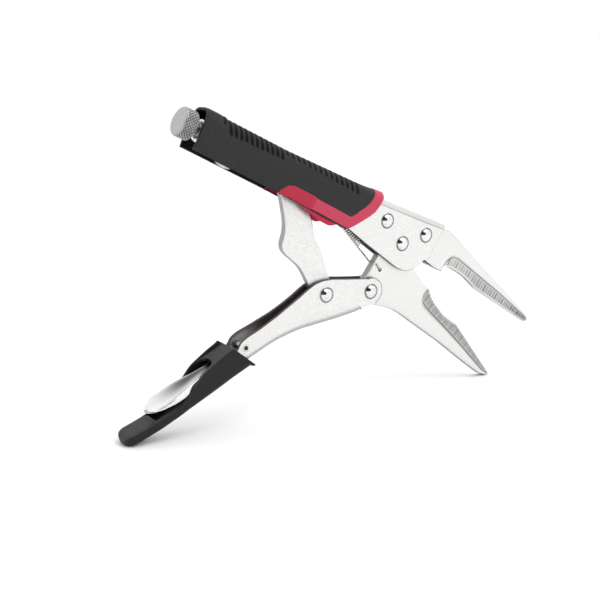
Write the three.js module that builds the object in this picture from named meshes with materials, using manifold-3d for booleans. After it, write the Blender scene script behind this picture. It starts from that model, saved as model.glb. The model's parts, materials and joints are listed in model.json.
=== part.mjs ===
// Long-nose locking pliers, standing open on the end of the lower handle and the tip of the moving jaw.
// Millimetres, +Z up. The tool lies in the XZ plane, and Y runs through its thickness.
import * as THREE from "three";
import { mergeVertices } from "three/addons/utils/BufferGeometryUtils.js";
import Module from "manifold-3d";

const wasm = await Module();
wasm.setup();

// ---- Driving dimensions ------------------------------------------------------------------------
const HANDLE_TILT = 25.8; // degrees the upper handle points down towards its nose
const JAW_OPEN = 19.5; // degrees between the jaws' grip faces at rest
const LOWER_TILT = 21.1; // degrees the lower handle points up towards its rivet

const SHEET = 1.5; // steel sheet of both handles
const JAW_T = 4; // thickness of both jaws
const LINK_T = 3.4; // thickness of the toggle link
const GAP = 0.3; // air between pieces that touch on the real tool
const NECK = JAW_T / 2 + GAP + SHEET; // half width of a handle where it holds the jaws
const SHANK_R = 2.2; // rivet shank
const HOLE_R = SHANK_R + GAP; // rivet hole
const HEAD_R = 3.5; // rivet head
const HEAD_H = 1.4; // height of its dome

// Upper handle frame: origin on the jaw pivot, +X along the handle towards the nose.
const UPPER_REAR = -122.8;
const UPPER_W = 5.4; // half width of the steel channel along the grip
const SCREW_Z = 5.5; // height of the adjusting screw's axis
const SCREW_R = 3.2; // 1/4 in thread
const KNOB_R = 6.6;
const KNOB_BACK = -131;
const KNOB_FRONT = -124.4;
const COLLAR_R = 5.2; // threaded collar at the rear of the channel
const COLLAR_REAR = -121.4;
const COLLAR_FRONT = -111.9;
const LINK_SEAT_X = -73; // where the toggle link's upper end turns, ahead of the screw tip
const LINK_END_R = 5.2; // the link's rounded upper end
const SEAT_GAP = 1.2; // room between that end and the screw tip
const FRONT_RIVET = [11.4, 8.6];
const REAR_RIVET = [-13.5, 6.5];
const SPRING_ANCHOR = [-56, 5.8];
const COIL_R = 2.5; // outer radius of the spring
const WIRE_R = 0.45;

// Jaws, both drawn closed in the upper handle frame. The grip line runs from the teeth to the tip.
const GRIP_START_X = 57;
const GRIP_START_Z = -4.5;
const GRIP_SLOPE = -0.105;
const BITE = 0.2; // half the gap that stays between the closed grip faces
const BAND_DEPTH = 0.7; // how far the toothed side bands lie under the jaw's cheek
const HANDLE_RIVET = [2.9, -27.5]; // jaw to lower handle rivet
const SPRING_HOLE = [0.4, -16.5];

// Lower handle frame: origin on the jaw rivet, +X along the handle towards the nose.
const LINK_RIVET = [-23, 10.2];
const LOWER_W = 6.5; // half width of the steel channel at the grip
const LOWER_REAR = -88; // where the steel channel ends inside the grip
const LEVER_PIN = [-70.3, 8.3];
const LEVER_PIN_R = 1;
const GRIP_W = 8; // half width of the lower grip

// ---- Materials -----------------------------------------------------------------------------------
const paint = (color, roughness, metalness) =>
  new THREE.MeshStandardMaterial({ color, roughness, metalness });
const satinNickel = paint(0xd3d3d1, 0.4, 0.9);
const polishedSteel = paint(0xc9c9c9, 0.15, 1);
const zinc = paint(0x9a9a97, 0.45, 0.8);
const blackRubber = paint(0x35363a, 0.75, 0);
const redRubber = paint(0xc8324f, 0.6, 0);

// ---- Solids --------------------------------------------------------------------------------------
const radians = THREE.MathUtils.degToRad;

function solid(geometry) {
  const bare = geometry.clone();
  bare.deleteAttribute("normal");
  bare.deleteAttribute("uv");
  const merged = mergeVertices(bare, 1e-4);
  const vertProperties = new Float32Array(merged.attributes.position.array);
  const triVerts = new Uint32Array(merged.index.array);
  return new wasm.Manifold(new wasm.Mesh({ numProp: 3, vertProperties, triVerts }));
}

function geometryOf(body) {
  const mesh = body.getMesh();
  const geometry = new THREE.BufferGeometry();
  geometry.setAttribute("position", new THREE.BufferAttribute(mesh.vertProperties, 3));
  geometry.setIndex(new THREE.BufferAttribute(mesh.triVerts, 1));
  return geometry.toNonIndexed();
}

// A side outline in XZ, extruded through the tool's thickness from yLow to yHigh.
function plate(shape, yLow, yHigh, curveSegments = 10) {
  const depth = yHigh - yLow;
  const geometry = new THREE.ExtrudeGeometry(shape, { depth, bevelEnabled: false, curveSegments });
  return solid(geometry.rotateX(Math.PI / 2).translate(0, yHigh, 0));
}

// A plan outline in XY, extruded upwards from zLow to zHigh.
function slab(shape, zLow, zHigh, curveSegments = 10) {
  const depth = zHigh - zLow;
  const geometry = new THREE.ExtrudeGeometry(shape, { depth, bevelEnabled: false, curveSegments });
  return solid(geometry.translate(0, 0, zLow));
}

// A round bar across the tool, centred on [x, z].
function crossBar([x, z], radius, halfLength, segments = 24) {
  const geometry = new THREE.CylinderGeometry(radius, radius, 2 * halfLength, segments);
  return solid(geometry.translate(x, 0, z));
}

// A round bar along X, at height z in the mid plane.
function longBar(xLow, xHigh, radius, z, segments = 24) {
  const geometry = new THREE.CylinderGeometry(radius, radius, xHigh - xLow, segments);
  return solid(geometry.rotateZ(Math.PI / 2).translate((xLow + xHigh) / 2, 0, z));
}

function box(xLow, xHigh, halfWidth, zLow, zHigh) {
  const geometry = new THREE.BoxGeometry(xHigh - xLow, 2 * halfWidth, zHigh - zLow);
  return solid(geometry.translate((xLow + xHigh) / 2, 0, (zLow + zHigh) / 2));
}

// A closed skin through equal loops of [y, z] points, each at its own x, with flat ends.
function loft(stations) {
  const size = stations[0].loop.length;
  const points = stations.flatMap(({ x, loop }) => loop.map(([y, z]) => [x, y, z]));
  const faces = [];
  for (let s = 0; s + 1 < stations.length; s++) {
    for (let i = 0; i < size; i++) {
      const a = s * size + i;
      const b = s * size + ((i + 1) % size);
      faces.push(a, b + size, a + size, a, b, b + size);
    }
  }
  const flat = stations.map(({ loop }) => loop.map(([y, z]) => new THREE.Vector2(y, z)));
  const last = (stations.length - 1) * size;
  THREE.ShapeUtils.triangulateShape(flat[0], []).forEach(([a, b, c]) => faces.push(a, c, b));
  THREE.ShapeUtils.triangulateShape(flat.at(-1), []).forEach(([a, b, c]) =>
    faces.push(last + a, last + b, last + c),
  );
  const geometry = new THREE.BufferGeometry();
  geometry.setAttribute("position", new THREE.Float32BufferAttribute(points.flat(), 3));
  geometry.setIndex(faces);
  return solid(geometry);
}

// Points of a quarter turn around [y, z], from one angle to the next, in degrees.
function corner(y, z, radius, from, to, steps = 4) {
  return Array.from({ length: steps + 1 }, (_, i) => {
    const angle = radians(from + ((to - from) * i) / steps);
    return [y + radius * Math.cos(angle), z + radius * Math.sin(angle)];
  });
}

// A rounded block, counter-clockwise seen from +X: two corner radii, at the top and the bottom.
function blockLoop(halfWidth, zLow, zHigh, topRadius, bottomRadius) {
  return [
    ...corner(halfWidth - bottomRadius, zLow + bottomRadius, bottomRadius, -90, 0),
    ...corner(halfWidth - topRadius, zHigh - topRadius, topRadius, 0, 90),
    ...corner(-halfWidth + topRadius, zHigh - topRadius, topRadius, 90, 180),
    ...corner(-halfWidth + bottomRadius, zLow + bottomRadius, bottomRadius, 180, 270),
  ];
}

// A folded sheet, open downwards: outside over the fold, then back along the inside.
function channelLoop(halfWidth, zOpen, zBack, foldRadius, sheet) {
  const foldZ = zBack - foldRadius;
  const foldY = halfWidth - foldRadius;
  return [
    [halfWidth, zOpen],
    ...corner(foldY, foldZ, foldRadius, 0, 90),
    ...corner(-foldY, foldZ, foldRadius, 90, 180),
    [-halfWidth, zOpen],
    [sheet - halfWidth, zOpen],
    ...corner(-foldY, foldZ, foldRadius - sheet, 180, 90),
    ...corner(foldY, foldZ, foldRadius - sheet, 90, 0),
    [halfWidth - sheet, zOpen],
  ];
}

const flipped = (loop) => loop.map(([y, z]) => [y, -z]).reverse();

// A straight-line table of [x, value] pairs, read at any x.
function along(table) {
  return (x) => {
    const next = table.findIndex(([tx]) => tx >= x);
    if (next <= 0) return next === 0 ? table[0][1] : table.at(-1)[1];
    const [x0, v0] = table[next - 1];
    const [x1, v1] = table[next];
    return v0 + ((v1 - v0) * (x - x0)) / (x1 - x0);
  };
}

const outline = (points) => new THREE.Shape(points.map(([x, z]) => new THREE.Vector2(x, z)));

// Takes a shape's outline on from where it is, in one smooth curve through the points.
function curveThrough(shape, points) {
  shape.splineThru(points.map(([x, z]) => new THREE.Vector2(x, z)));
  return shape;
}

// Teeth along a line of [x, z] points: each pitch rises to the line and drops under it by depth.
function toothed(lineZ, fromX, toX, pitch, depth) {
  const count = Math.round(Math.abs(toX - fromX) / pitch);
  const stepX = (toX - fromX) / count;
  return Array.from({ length: count }, (_, i) => {
    const x = fromX + i * stepX;
    return [
      [x, lineZ(x)],
      [x + stepX / 2, lineZ(x + stepX / 2) + depth],
    ];
  }).flat();
}

// A rivet across the tool with a domed head on each face, whose faces are faceHalf from the middle.
function rivet([x, z], faceHalf) {
  const seat = faceHalf + GAP;
  const dome = corner(0, 0, 1, 0, 90, 5).map(([c, s]) => [HEAD_R * c, seat + 0.3 + (HEAD_H - 0.3) * s]);
  const upper = [[SHANK_R, seat], [HEAD_R, seat], ...dome];
  const lower = upper.map(([r, y]) => [r, -y]).reverse();
  const profile = [...lower, ...upper].map(([r, y]) => new THREE.Vector2(Math.max(r, 0), y));
  profile[0].x = 0;
  profile.at(-1).x = 0;
  return solid(new THREE.LatheGeometry(profile, 20).translate(x, 0, z));
}

function mesh(name, body, material) {
  const made = new THREE.Mesh(geometryOf(body), material);
  made.name = name;
  return made;
}

// ---- Upper handle --------------------------------------------------------------------------------
const channelTop = along([
  [UPPER_REAR, 13.1],
  [-78, 12.9],
  [-35, 13.9],
  [-14, 15.2],
  [24, 17.9],
]);
const channelWidth = along([
  [UPPER_REAR, UPPER_W],
  [-60, UPPER_W],
  [-14, NECK],
  [24, NECK],
]);
const channelStations = [-112, -78, -60, -35, -24, -14, 24];

function upperHandle() {
  const skin = loft(
    channelStations.map((x) => ({
      x,
      loop: channelLoop(channelWidth(x), -14, channelTop(x), 3, SHEET),
    })),
  );
  const cheek = new THREE.Shape();
  cheek.moveTo(-113, 20);
  cheek.lineTo(-113, -2.6);
  cheek.lineTo(-109, -2.8);
  curveThrough(cheek, [[-105, -4], [-99, -4.4], [-94, -3]]);
  cheek.lineTo(-36, -4.2);
  cheek.lineTo(-22.7, -6.9);
  cheek.absarc(4, 1.2, 13, radians(-104), radians(-30), false);
  cheek.lineTo(18, -2.6);
  cheek.lineTo(20.4, 15.4);
  cheek.lineTo(20.9, 20);
  const profile = plate(cheek, -UPPER_W - 1, UPPER_W + 1, 12);
  const collar = longBar(COLLAR_REAR, COLLAR_FRONT, COLLAR_R, SCREW_Z);
  return skin
    .intersect(profile)
    .add(collar)
    .subtract(longBar(-123, -100, SCREW_R + GAP, SCREW_Z))
    .subtract(crossBar([0, 0], HOLE_R, 10))
    .subtract(crossBar(FRONT_RIVET, HOLE_R, 10))
    .subtract(crossBar(REAR_RIVET, HOLE_R, 10))
    .subtract(crossBar(SPRING_ANCHOR, 1.3, 10, 16));
}

// ---- Grip on the upper handle ----------------------------------------------------------------------
const gripTop = along([
  [UPPER_REAR, 14.9],
  [-78, 14.6],
  [-35, 16.1],
  [-25, 17.2],
  [-19, 17.7],
]);
const gripBottom = along([
  [UPPER_REAR, -3.6],
  [-77, -4.3],
  [-35, -5.8],
]);
const gripWidth = along([
  [UPPER_REAR, 6.9],
  [-60, 7.3],
  [-35, 7],
  [-19, 6],
]);

function gripShell() {
  const xs = [UPPER_REAR, -100, -78, -60, -35, -28, -19];
  const outer = loft(
    xs.map((x) => ({ x, loop: blockLoop(gripWidth(x), -8, gripTop(x), 4.6, 0.8) })),
  );
  const inner = loft(
    [UPPER_REAR - 1, ...channelStations.slice(1, 6), -10].map((x) => ({
      x,
      loop: blockLoop(channelWidth(x) + GAP, -12, channelTop(x) + GAP, 3.1, 0.8),
    })),
  );
  const side = outline([
    [UPPER_REAR, gripBottom(UPPER_REAR)],
    [-77, gripBottom(-77)],
    [-35, gripBottom(-35)],
    [-24.2, 7.6],
    [-22.3, 13.3],
    [-21, 18],
    [-60, 18],
    [UPPER_REAR, 18],
  ]);
  return outer.subtract(inner).intersect(plate(side, -9, 9));
}

// The second colour: along the lower edge from mid grip, and up the front edge over the back.
function trimZone(margin) {
  return plate(
    outline([
      [-77 + margin, -9],
      [-76.6 + margin, -3],
      [-73.8, 0.8 - margin],
      [-70.6, 1.9 - margin],
      [-35.8 + margin * 0.4, 1 - margin],
      [-28.6 + margin, 12.1],
      [-26.4 + margin, 15],
      [-26 + margin, 20],
      [-10, 20],
      [-10, -9],
    ]),
    -10,
    10,
  );
}

// ---- Jaws ----------------------------------------------------------------------------------------
const gripLine = (x) => GRIP_START_Z + GRIP_SLOPE * (x - GRIP_START_X);
const fixedHollow = along([[30, -0.4], [37, -0.4], [42.5, -0.7], [47, -1.5], [52, -3], [57, gripLine(57) + BITE]]);
const movingHollow = along([[30, -3.9], [33, -4.2], [36, -5.4], [40.4, -6.2], [48.8, -6.7], [54, -6], [59, gripLine(59) - BITE]]);

function fixedJaw() {
  const fineTeeth = toothed((x) => gripLine(x) + BITE, 96.8, 57, 1.1, 0.35);
  const coarseTeeth = toothed(fixedHollow, 57, 34, 1.9, 0.7);
  const side = outline([
    [20.6, 14.7],
    [22.6, 15.6],
    [25.7, 16],
    [31, 14.9],
    [37, 12.9],
    [95, -4.3],
    [97.6, -5.8],
    [98.2, -7.6],
    ...fineTeeth,
    ...coarseTeeth,
    [32.6, -0.5],
    [31.2, -1.4],
    [30.2, -3.4],
    [25.3, -3.7],
    [18.6, -2.7],
    ...corner(0, 0, 8.4, -14, 166, 12),
    [-19.5, 0.6],
    [-19.5, 12.3],
  ]);
  return banded(plate(side, -JAW_T / 2, JAW_T / 2), [
    [30.6, -1],
    [31.4, 2.4],
    [32.8, 4.3],
    [34.8, 5.6],
    [37.8, 5.8],
    [57.3, 2.3],
    [96.4, -5.6],
    [102, -7],
    [102, -14],
    [30.6, -14],
  ])
    .subtract(crossBar(FRONT_RIVET, HOLE_R, 10))
    .subtract(crossBar(REAR_RIVET, HOLE_R, 10));
}

function movingJaw() {
  const coarseTeeth = toothed(movingHollow, 31.5, 59, 1.9, -0.7);
  const fineTeeth = toothed((x) => gripLine(x) - BITE, 59, 95, 1.1, -0.35);
  const [bx, bz] = HANDLE_RIVET;
  const side = outline([
    ...corner(0, 0, 7.8, 188, -24, 14),
    [18, -3.3],
    [25.4, -4.3],
    [30.2, -4.2],
    ...coarseTeeth,
    ...fineTeeth,
    [95.4, -8.9],
    [95.4, -10.8],
    [90.4, -13.4],
    [79.4, -15.2],
    [55.8, -18.4],
    [38.4, -21.4],
    [27.2, -23.3],
    [19.5, -25.6],
    [12.5, -29.3],
    ...corner(bx, bz, 6.3, -50, -202, 9),
  ]);
  return banded(plate(side, -JAW_T / 2, JAW_T / 2), [
    [30.1, -2],
    [30.4, -6.8],
    [32.1, -10.2],
    [35.5, -11.8],
    [54.5, -11.2],
    [89.5, -11.2],
    [100, -10.4],
    [100, -2],
  ])
    .subtract(crossBar([0, 0], HOLE_R, 10))
    .subtract(crossBar(HANDLE_RIVET, HOLE_R, 10))
    .subtract(crossBar(SPRING_HOLE, 1.1, 10, 16));
}

// Sinks the toothed band into both faces of a jaw.
function banded(jaw, zone) {
  const near = plate(outline(zone), JAW_T / 2 - BAND_DEPTH, JAW_T);
  const far = plate(outline(zone), -JAW_T, BAND_DEPTH - JAW_T / 2);
  return jaw.subtract(near).subtract(far);
}

// ---- Lower handle --------------------------------------------------------------------------------
const lowerBack = along([
  [LOWER_REAR, 1.2],
  [-68.6, 3],
  [-55.5, 3.8],
  [-42.5, 2.1],
  [-24.7, -2.3],
  [-9.8, -5.3],
  [10, -5.3],
]);
const lowerWidth = along([
  [LOWER_REAR, LOWER_W],
  [-60, LOWER_W],
  [-24, NECK],
  [10, NECK],
]);

function lowerHandle() {
  const xs = [LOWER_REAR, -68.6, -60, -50, -42.5, -33, -24.7, -9.8];
  const skin = loft(
    xs.map((x) => ({
      x,
      loop: flipped(channelLoop(lowerWidth(x), -20, -lowerBack(x), 3, SHEET)),
    })),
  );
  const ears = box(-11, 8, NECK, -8, 20).subtract(box(-20, 10, NECK - SHEET, -12, 22));
  const side = new THREE.Shape();
  side.moveTo(LOWER_REAR - 1, -6);
  side.lineTo(-9.8, -5.35);
  side.lineTo(-5, -5.3);
  side.absarc(0, 0, 6.6, radians(-112), radians(50), false);
  side.lineTo(-17, 15.6);
  side.quadraticCurveTo(-21.5, 17.8, -28, 17.2);
  side.lineTo(-61.5, 13.3);
  side.lineTo(-72, 11.8);
  side.lineTo(-73.8, 9.3);
  side.lineTo(LOWER_REAR - 1, 6.4);
  const profile = plate(side, -9, 9, 12);
  return skin
    .add(ears)
    .intersect(profile)
    .subtract(crossBar([0, 0], HOLE_R, 10))
    .subtract(crossBar(LINK_RIVET, HOLE_R, 10))
    .subtract(crossBar(LEVER_PIN, LEVER_PIN_R + GAP, 10, 16));
}

const lowerGripTop = along([
  [-140, 1.6],
  [-130, 1.1],
  [-118, 0.4],
  [-108, 0],
  [-103.5, 1],
  [-98.5, 4.4],
  [-95, 7.2],
  [-92, 8.3],
  [-83, 10.2],
  [-68, 11.8],
]);
const lowerGripBottom = along([
  [-140, -4.9],
  [-120, -4.2],
  [-105, -3.6],
  [-92.6, -2.5],
  [-80, -1.5],
  [-66, -0.5],
]);

const bridgeUnderside = along([
  [LOWER_REAR, 8.8],
  [-68.6, 10.4],
]);

function lowerGrip() {
  const xs = [-138, -130, -118, -108, -103.5, -98.5, -95, -92, -83, -66];
  const outer = loft(
    xs.map((x) => ({
      x,
      loop: blockLoop(GRIP_W, lowerGripBottom(x), lowerGripTop(x), 0.7, 2.2),
    })),
  );
  const rim = outline([
    [-140, -8],
    [-67.6, -8],
    [-67.6, 0.1],
    [-70.2, 1],
    [-75.9, 14],
    [-140, 14],
  ]);
  const plan = new THREE.Shape();
  plan.moveTo(-60, -9);
  plan.lineTo(-60, 9);
  plan.lineTo(-131, 9);
  plan.bezierCurveTo(-135.5, 8, -137.6, 5, -137.6, 0);
  plan.bezierCurveTo(-137.6, -5, -135.5, -8, -131, -9);
  const round = new THREE.Shape();
  round.moveTo(-60, -7);
  round.lineTo(-60, 14);
  round.lineTo(-136.4, 14);
  round.lineTo(-137.6, 1);
  round.bezierCurveTo(-137.6, -3, -136.4, -4.4, -134, -4.7);
  round.lineTo(-122, -7);
  const steelRoom = loft(
    [LOWER_REAR - 1, -68.6, -60].map((x) => ({
      x,
      loop: blockLoop(LOWER_W + GAP, lowerBack(x) - GAP, bridgeUnderside(x), 0.5, 2.8),
    })),
  );
  const cradle = box(-114, -86, LOWER_W + GAP - 0.4, -0.2, 20);
  return outer
    .intersect(plate(rim, -10, 10))
    .intersect(slab(plan, -10, 20, 8))
    .intersect(plate(round, -10, 10, 8))
    .subtract(steelRoom)
    .subtract(cradle);
}

// ---- Release lever ---------------------------------------------------------------------------------
function releaseLever() {
  const [px, pz] = LEVER_PIN;
  const strip = outline([
    [-50, 11.6],
    [px, pz + 2],
    [-78, 8.6],
    [-87, 7.6],
    [-100, 6],
    [-112, 3.9],
    [-120.5, 3.2],
    [-120.5, 2.1],
    [-112, 2.6],
    [-100, 4.7],
    [-87, 6.3],
    [-78, 7.2],
    [px, pz - 2],
    [-50, 10.4],
  ]);
  const plan = new THREE.Shape();
  plan.moveTo(-50, -2.6);
  plan.lineTo(-50, 2.6);
  plan.lineTo(px + 4, 4.2);
  plan.lineTo(px - 4, 4.2);
  plan.quadraticCurveTo(-80, 2.4, -87, 2.6);
  plan.bezierCurveTo(-98, 3, -102, 5.8, -111, 5.8);
  plan.bezierCurveTo(-118, 5.8, -121, 3.6, -121, 0);
  plan.bezierCurveTo(-121, -3.6, -118, -5.8, -111, -5.8);
  plan.bezierCurveTo(-102, -5.8, -98, -3, -87, -2.6);
  plan.quadraticCurveTo(-80, -2.4, px - 4, -4.2);
  plan.lineTo(px + 4, -4.2);
  return plate(strip, -7, 7)
    .intersect(slab(plan, -5, 20, 8))
    .subtract(crossBar(LEVER_PIN, LEVER_PIN_R + GAP, 10, 16));
}

// ---- Toggle link -----------------------------------------------------------------------------------
// Frame: origin on the link rivet, +X towards the seat on the screw tip, +Z on the elbow's side.
function toggleLink(length) {
  const side = new THREE.Shape();
  side.moveTo(0, -5);
  side.lineTo(20, -5);
  side.quadraticCurveTo(27, -3, 34, -5);
  side.lineTo(length, -LINK_END_R);
  side.absarc(length, 0, LINK_END_R, radians(-90), radians(90), false);
  side.lineTo(52, 6.4);
  side.lineTo(42, 8);
  side.quadraticCurveTo(33, 13.6, 29.5, 13.6);
  side.quadraticCurveTo(27, 13.4, 22.7, 10.6);
  side.quadraticCurveTo(16, 6.6, 6, 6.2);
  side.quadraticCurveTo(-5.6, 5.8, -5.6, 0);
  side.quadraticCurveTo(-5.6, -5, 0, -5);
  return plate(side, -LINK_T / 2, LINK_T / 2, 6).subtract(crossBar([0, 0], HOLE_R, 10));
}

// ---- Spring ----------------------------------------------------------------------------------------
// Frame: origin on the anchor, +X towards the jaw's spring hole. The coil is its plain outer shape.
// The wire passes behind the jaw, and its hooked end comes back through the jaw's hole.
function tensionSpring(length) {
  const coilEnd = length * 0.68;
  const behind = JAW_T / 2 + GAP + WIRE_R;
  const route = [
    [coilEnd - 1, 0],
    [coilEnd + 2, 0],
    [length - 8, behind],
    [length - 1.4, behind],
    [length - 0.2, behind - 0.8],
    [length, 0],
    [length, -behind],
  ];
  const path = new THREE.CatmullRomCurve3(
    route.map(([x, y]) => new THREE.Vector3(x, y, 0)),
    false,
    "centripetal",
  );
  const section = new THREE.Shape().absarc(0, 0, WIRE_R, 0, 2 * Math.PI, false);
  const wire = new THREE.ExtrudeGeometry(section, { steps: 30, extrudePath: path, curveSegments: 4 });
  const coil = longBar(3, coilEnd, COIL_R, 0, 12);
  const eye = longBar(1.7, 4, WIRE_R, 0, 8);
  return coil.add(solid(wire)).add(eye);
}

// ---- Adjusting screw -------------------------------------------------------------------------------
function adjustingScrew(tipX) {
  return longBar(KNOB_FRONT + GAP, tipX, SCREW_R, SCREW_Z);
}

function screwKnob() {
  const radii = [
    [0, KNOB_BACK],
    [KNOB_R - 0.7, KNOB_BACK],
    [KNOB_R, KNOB_BACK + 0.7],
    [KNOB_R, KNOB_FRONT - 0.7],
    [KNOB_R - 0.7, KNOB_FRONT],
    [0, KNOB_FRONT],
  ].map(([r, x]) => new THREE.Vector2(r, x));
  const geometry = new THREE.LatheGeometry(radii, 32).rotateZ(-Math.PI / 2);
  return solid(geometry.translate(0, 0, SCREW_Z));
}

// ---- Assembly --------------------------------------------------------------------------------------
const turned = ([x, z], degrees) => {
  const angle = radians(degrees);
  return [
    x * Math.cos(angle) - z * Math.sin(angle),
    x * Math.sin(angle) + z * Math.cos(angle),
  ];
};
const plus = ([ax, az], [bx, bz]) => [ax + bx, az + bz];

// Every group turns about Y in the tool's plane: degrees counts anticlockwise seen from -Y.
function placed([x, z], degrees, ...pieces) {
  const group = new THREE.Group();
  group.position.set(x, 0, z);
  group.rotation.y = -radians(degrees);
  group.add(...pieces);
  return group;
}

const pivot = [0, 0];
const jawRivetAt = turned(HANDLE_RIVET, -HANDLE_TILT - JAW_OPEN);
const linkRivetAt = plus(jawRivetAt, turned(LINK_RIVET, LOWER_TILT));
const seatAt = turned([LINK_SEAT_X, SCREW_Z], -HANDLE_TILT);
const anchorAt = turned(SPRING_ANCHOR, -HANDLE_TILT);
const springHoleAt = turned(SPRING_HOLE, -HANDLE_TILT - JAW_OPEN);
const span = (from, to) => Math.hypot(to[0] - from[0], to[1] - from[1]);
const heading = (from, to) =>
  THREE.MathUtils.radToDeg(Math.atan2(to[1] - from[1], to[0] - from[0]));

const shell = gripShell();
const upper = placed(
  pivot,
  -HANDLE_TILT,
  mesh("upper_handle", upperHandle(), satinNickel),
  mesh("fixed_jaw", fixedJaw(), satinNickel),
  mesh("fixed_jaw_front_rivet", rivet(FRONT_RIVET, NECK), polishedSteel),
  mesh("fixed_jaw_rear_rivet", rivet(REAR_RIVET, NECK), polishedSteel),
  mesh("pivot_rivet", rivet(pivot, NECK), polishedSteel),
  mesh("spring_anchor_pin", crossBar(SPRING_ANCHOR, 1, UPPER_W - 0.2, 16), polishedSteel),
  mesh("upper_grip", shell.subtract(trimZone(0)), blackRubber),
  mesh("grip_trim", shell.intersect(trimZone(GAP)), redRubber),
  mesh("adjusting_screw", adjustingScrew(LINK_SEAT_X - LINK_END_R - SEAT_GAP), zinc),
  mesh("screw_knob", screwKnob(), zinc),
);
const jaw = placed(pivot, -HANDLE_TILT - JAW_OPEN, mesh("moving_jaw", movingJaw(), satinNickel));
const lower = placed(
  jawRivetAt,
  LOWER_TILT,
  mesh("lower_handle", lowerHandle(), satinNickel),
  mesh("jaw_rivet", rivet([0, 0], NECK), polishedSteel),
  mesh("link_rivet", rivet(LINK_RIVET, NECK), polishedSteel),
  mesh("lower_grip", lowerGrip(), blackRubber),
  mesh("release_lever", releaseLever(), polishedSteel),
  mesh("lever_pin", crossBar(LEVER_PIN, LEVER_PIN_R, LOWER_W, 16), polishedSteel),
);
const link = placed(
  linkRivetAt,
  heading(linkRivetAt, seatAt),
  mesh("toggle_link", toggleLink(span(linkRivetAt, seatAt)), satinNickel),
);
const spring = placed(
  anchorAt,
  heading(anchorAt, springHoleAt),
  mesh("tension_spring", tensionSpring(span(anchorAt, springHoleAt)), polishedSteel),
);

// The frame's origin is the middle of the tool's footprint, on the surface that it stands on.
const pliers = new THREE.Group();
pliers.add(upper, jaw, lower, link, spring);
pliers.updateMatrixWorld(true);
const bounds = new THREE.Box3().setFromObject(pliers, true);
pliers.position.set(-(bounds.min.x + bounds.max.x) / 2, 0, -bounds.min.z);

export default pliers;
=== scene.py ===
# Long-nose locking pliers, stood open on a white table: pressed nickel-plated handles, forged jaws,
# riveted joints, a return spring, an adjusting screw with a knurled knob, a release lever and
# grips.
import json
import math
import bmesh
import bpy
import numpy as np
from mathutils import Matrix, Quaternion, Vector


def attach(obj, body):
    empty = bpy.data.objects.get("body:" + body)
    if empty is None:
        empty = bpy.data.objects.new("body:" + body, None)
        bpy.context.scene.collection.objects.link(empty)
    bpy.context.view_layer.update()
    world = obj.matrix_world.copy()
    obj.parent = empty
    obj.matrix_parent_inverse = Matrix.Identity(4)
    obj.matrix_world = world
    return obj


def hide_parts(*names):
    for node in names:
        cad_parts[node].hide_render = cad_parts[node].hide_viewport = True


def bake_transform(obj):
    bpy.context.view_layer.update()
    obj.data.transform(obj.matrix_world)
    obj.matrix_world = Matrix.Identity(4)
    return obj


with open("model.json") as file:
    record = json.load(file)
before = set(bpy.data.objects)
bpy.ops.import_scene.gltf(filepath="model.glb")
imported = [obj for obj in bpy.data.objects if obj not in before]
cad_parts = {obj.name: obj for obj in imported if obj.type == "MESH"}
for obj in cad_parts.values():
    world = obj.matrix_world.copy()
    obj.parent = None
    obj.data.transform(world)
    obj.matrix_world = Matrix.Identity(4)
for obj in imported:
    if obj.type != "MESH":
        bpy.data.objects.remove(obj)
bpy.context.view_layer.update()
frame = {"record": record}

# ---- Table, light and camera ---------------------------------------------------------------------
# A white table that runs past the edges of the view, a pale studio dome with one tall dark screen
# that polished metal picks up, and a large soft lamp above the tool's near side.
scene = bpy.context.scene
scene.view_settings.view_transform = "Standard"

TABLE_SIZE = 24.0
bpy.ops.mesh.primitive_plane_add(size=TABLE_SIZE)
table = bpy.context.object
table.name = "table"
table_paint = bpy.data.materials.new("table_paint")
table_paint.use_nodes = True
table_shader = table_paint.node_tree.nodes["Principled BSDF"]
table_shader.inputs["Base Color"].default_value = (0.95, 0.95, 0.95, 1)
table_shader.inputs["Roughness"].default_value = 0.85
table_shader.inputs["Specular IOR Level"].default_value = 0.1
table.data.materials.append(table_paint)

DARK_SCREEN = Vector((-0.40, -0.86, 0.30)).normalized()
SCREEN_TALL = 0.60  # heights count for less, so that the dark patch is taller than it is wide
dome = bpy.data.worlds.new("studio_dome")
scene.world = dome
dome.use_nodes = True
sky, sky_links = dome.node_tree.nodes, dome.node_tree.links
direction = sky.new("ShaderNodeTexCoord")
flatter = sky.new("ShaderNodeVectorMath")
flatter.operation = "MULTIPLY"
flatter.inputs[1].default_value = (1, 1, SCREEN_TALL)
unit = sky.new("ShaderNodeVectorMath")
unit.operation = "NORMALIZE"
towards = sky.new("ShaderNodeVectorMath")
towards.operation = "DOT_PRODUCT"
towards.inputs[1].default_value = DARK_SCREEN
screen_edge = sky.new("ShaderNodeMapRange")
screen_edge.interpolation_type = "SMOOTHSTEP"
screen_edge.inputs["From Min"].default_value = 0.80
screen_edge.inputs["From Max"].default_value = 0.87
sky_colour = sky.new("ShaderNodeMix")
sky_colour.data_type = "RGBA"
sky_colour.inputs["A"].default_value = (1.0, 1.0, 1.0, 1)
sky_colour.inputs["B"].default_value = (0.03, 0.03, 0.035, 1)
sky_links.new(direction.outputs["Generated"], flatter.inputs[0])
sky_links.new(flatter.outputs["Vector"], unit.inputs[0])
sky_links.new(unit.outputs["Vector"], towards.inputs[0])
sky_links.new(towards.outputs["Value"], screen_edge.inputs["Value"])
sky_links.new(screen_edge.outputs["Result"], sky_colour.inputs["Factor"])
sky_links.new(sky_colour.outputs["Result"], sky["Background"].inputs["Color"])
sky["Background"].inputs["Strength"].default_value = 1.21

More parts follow.
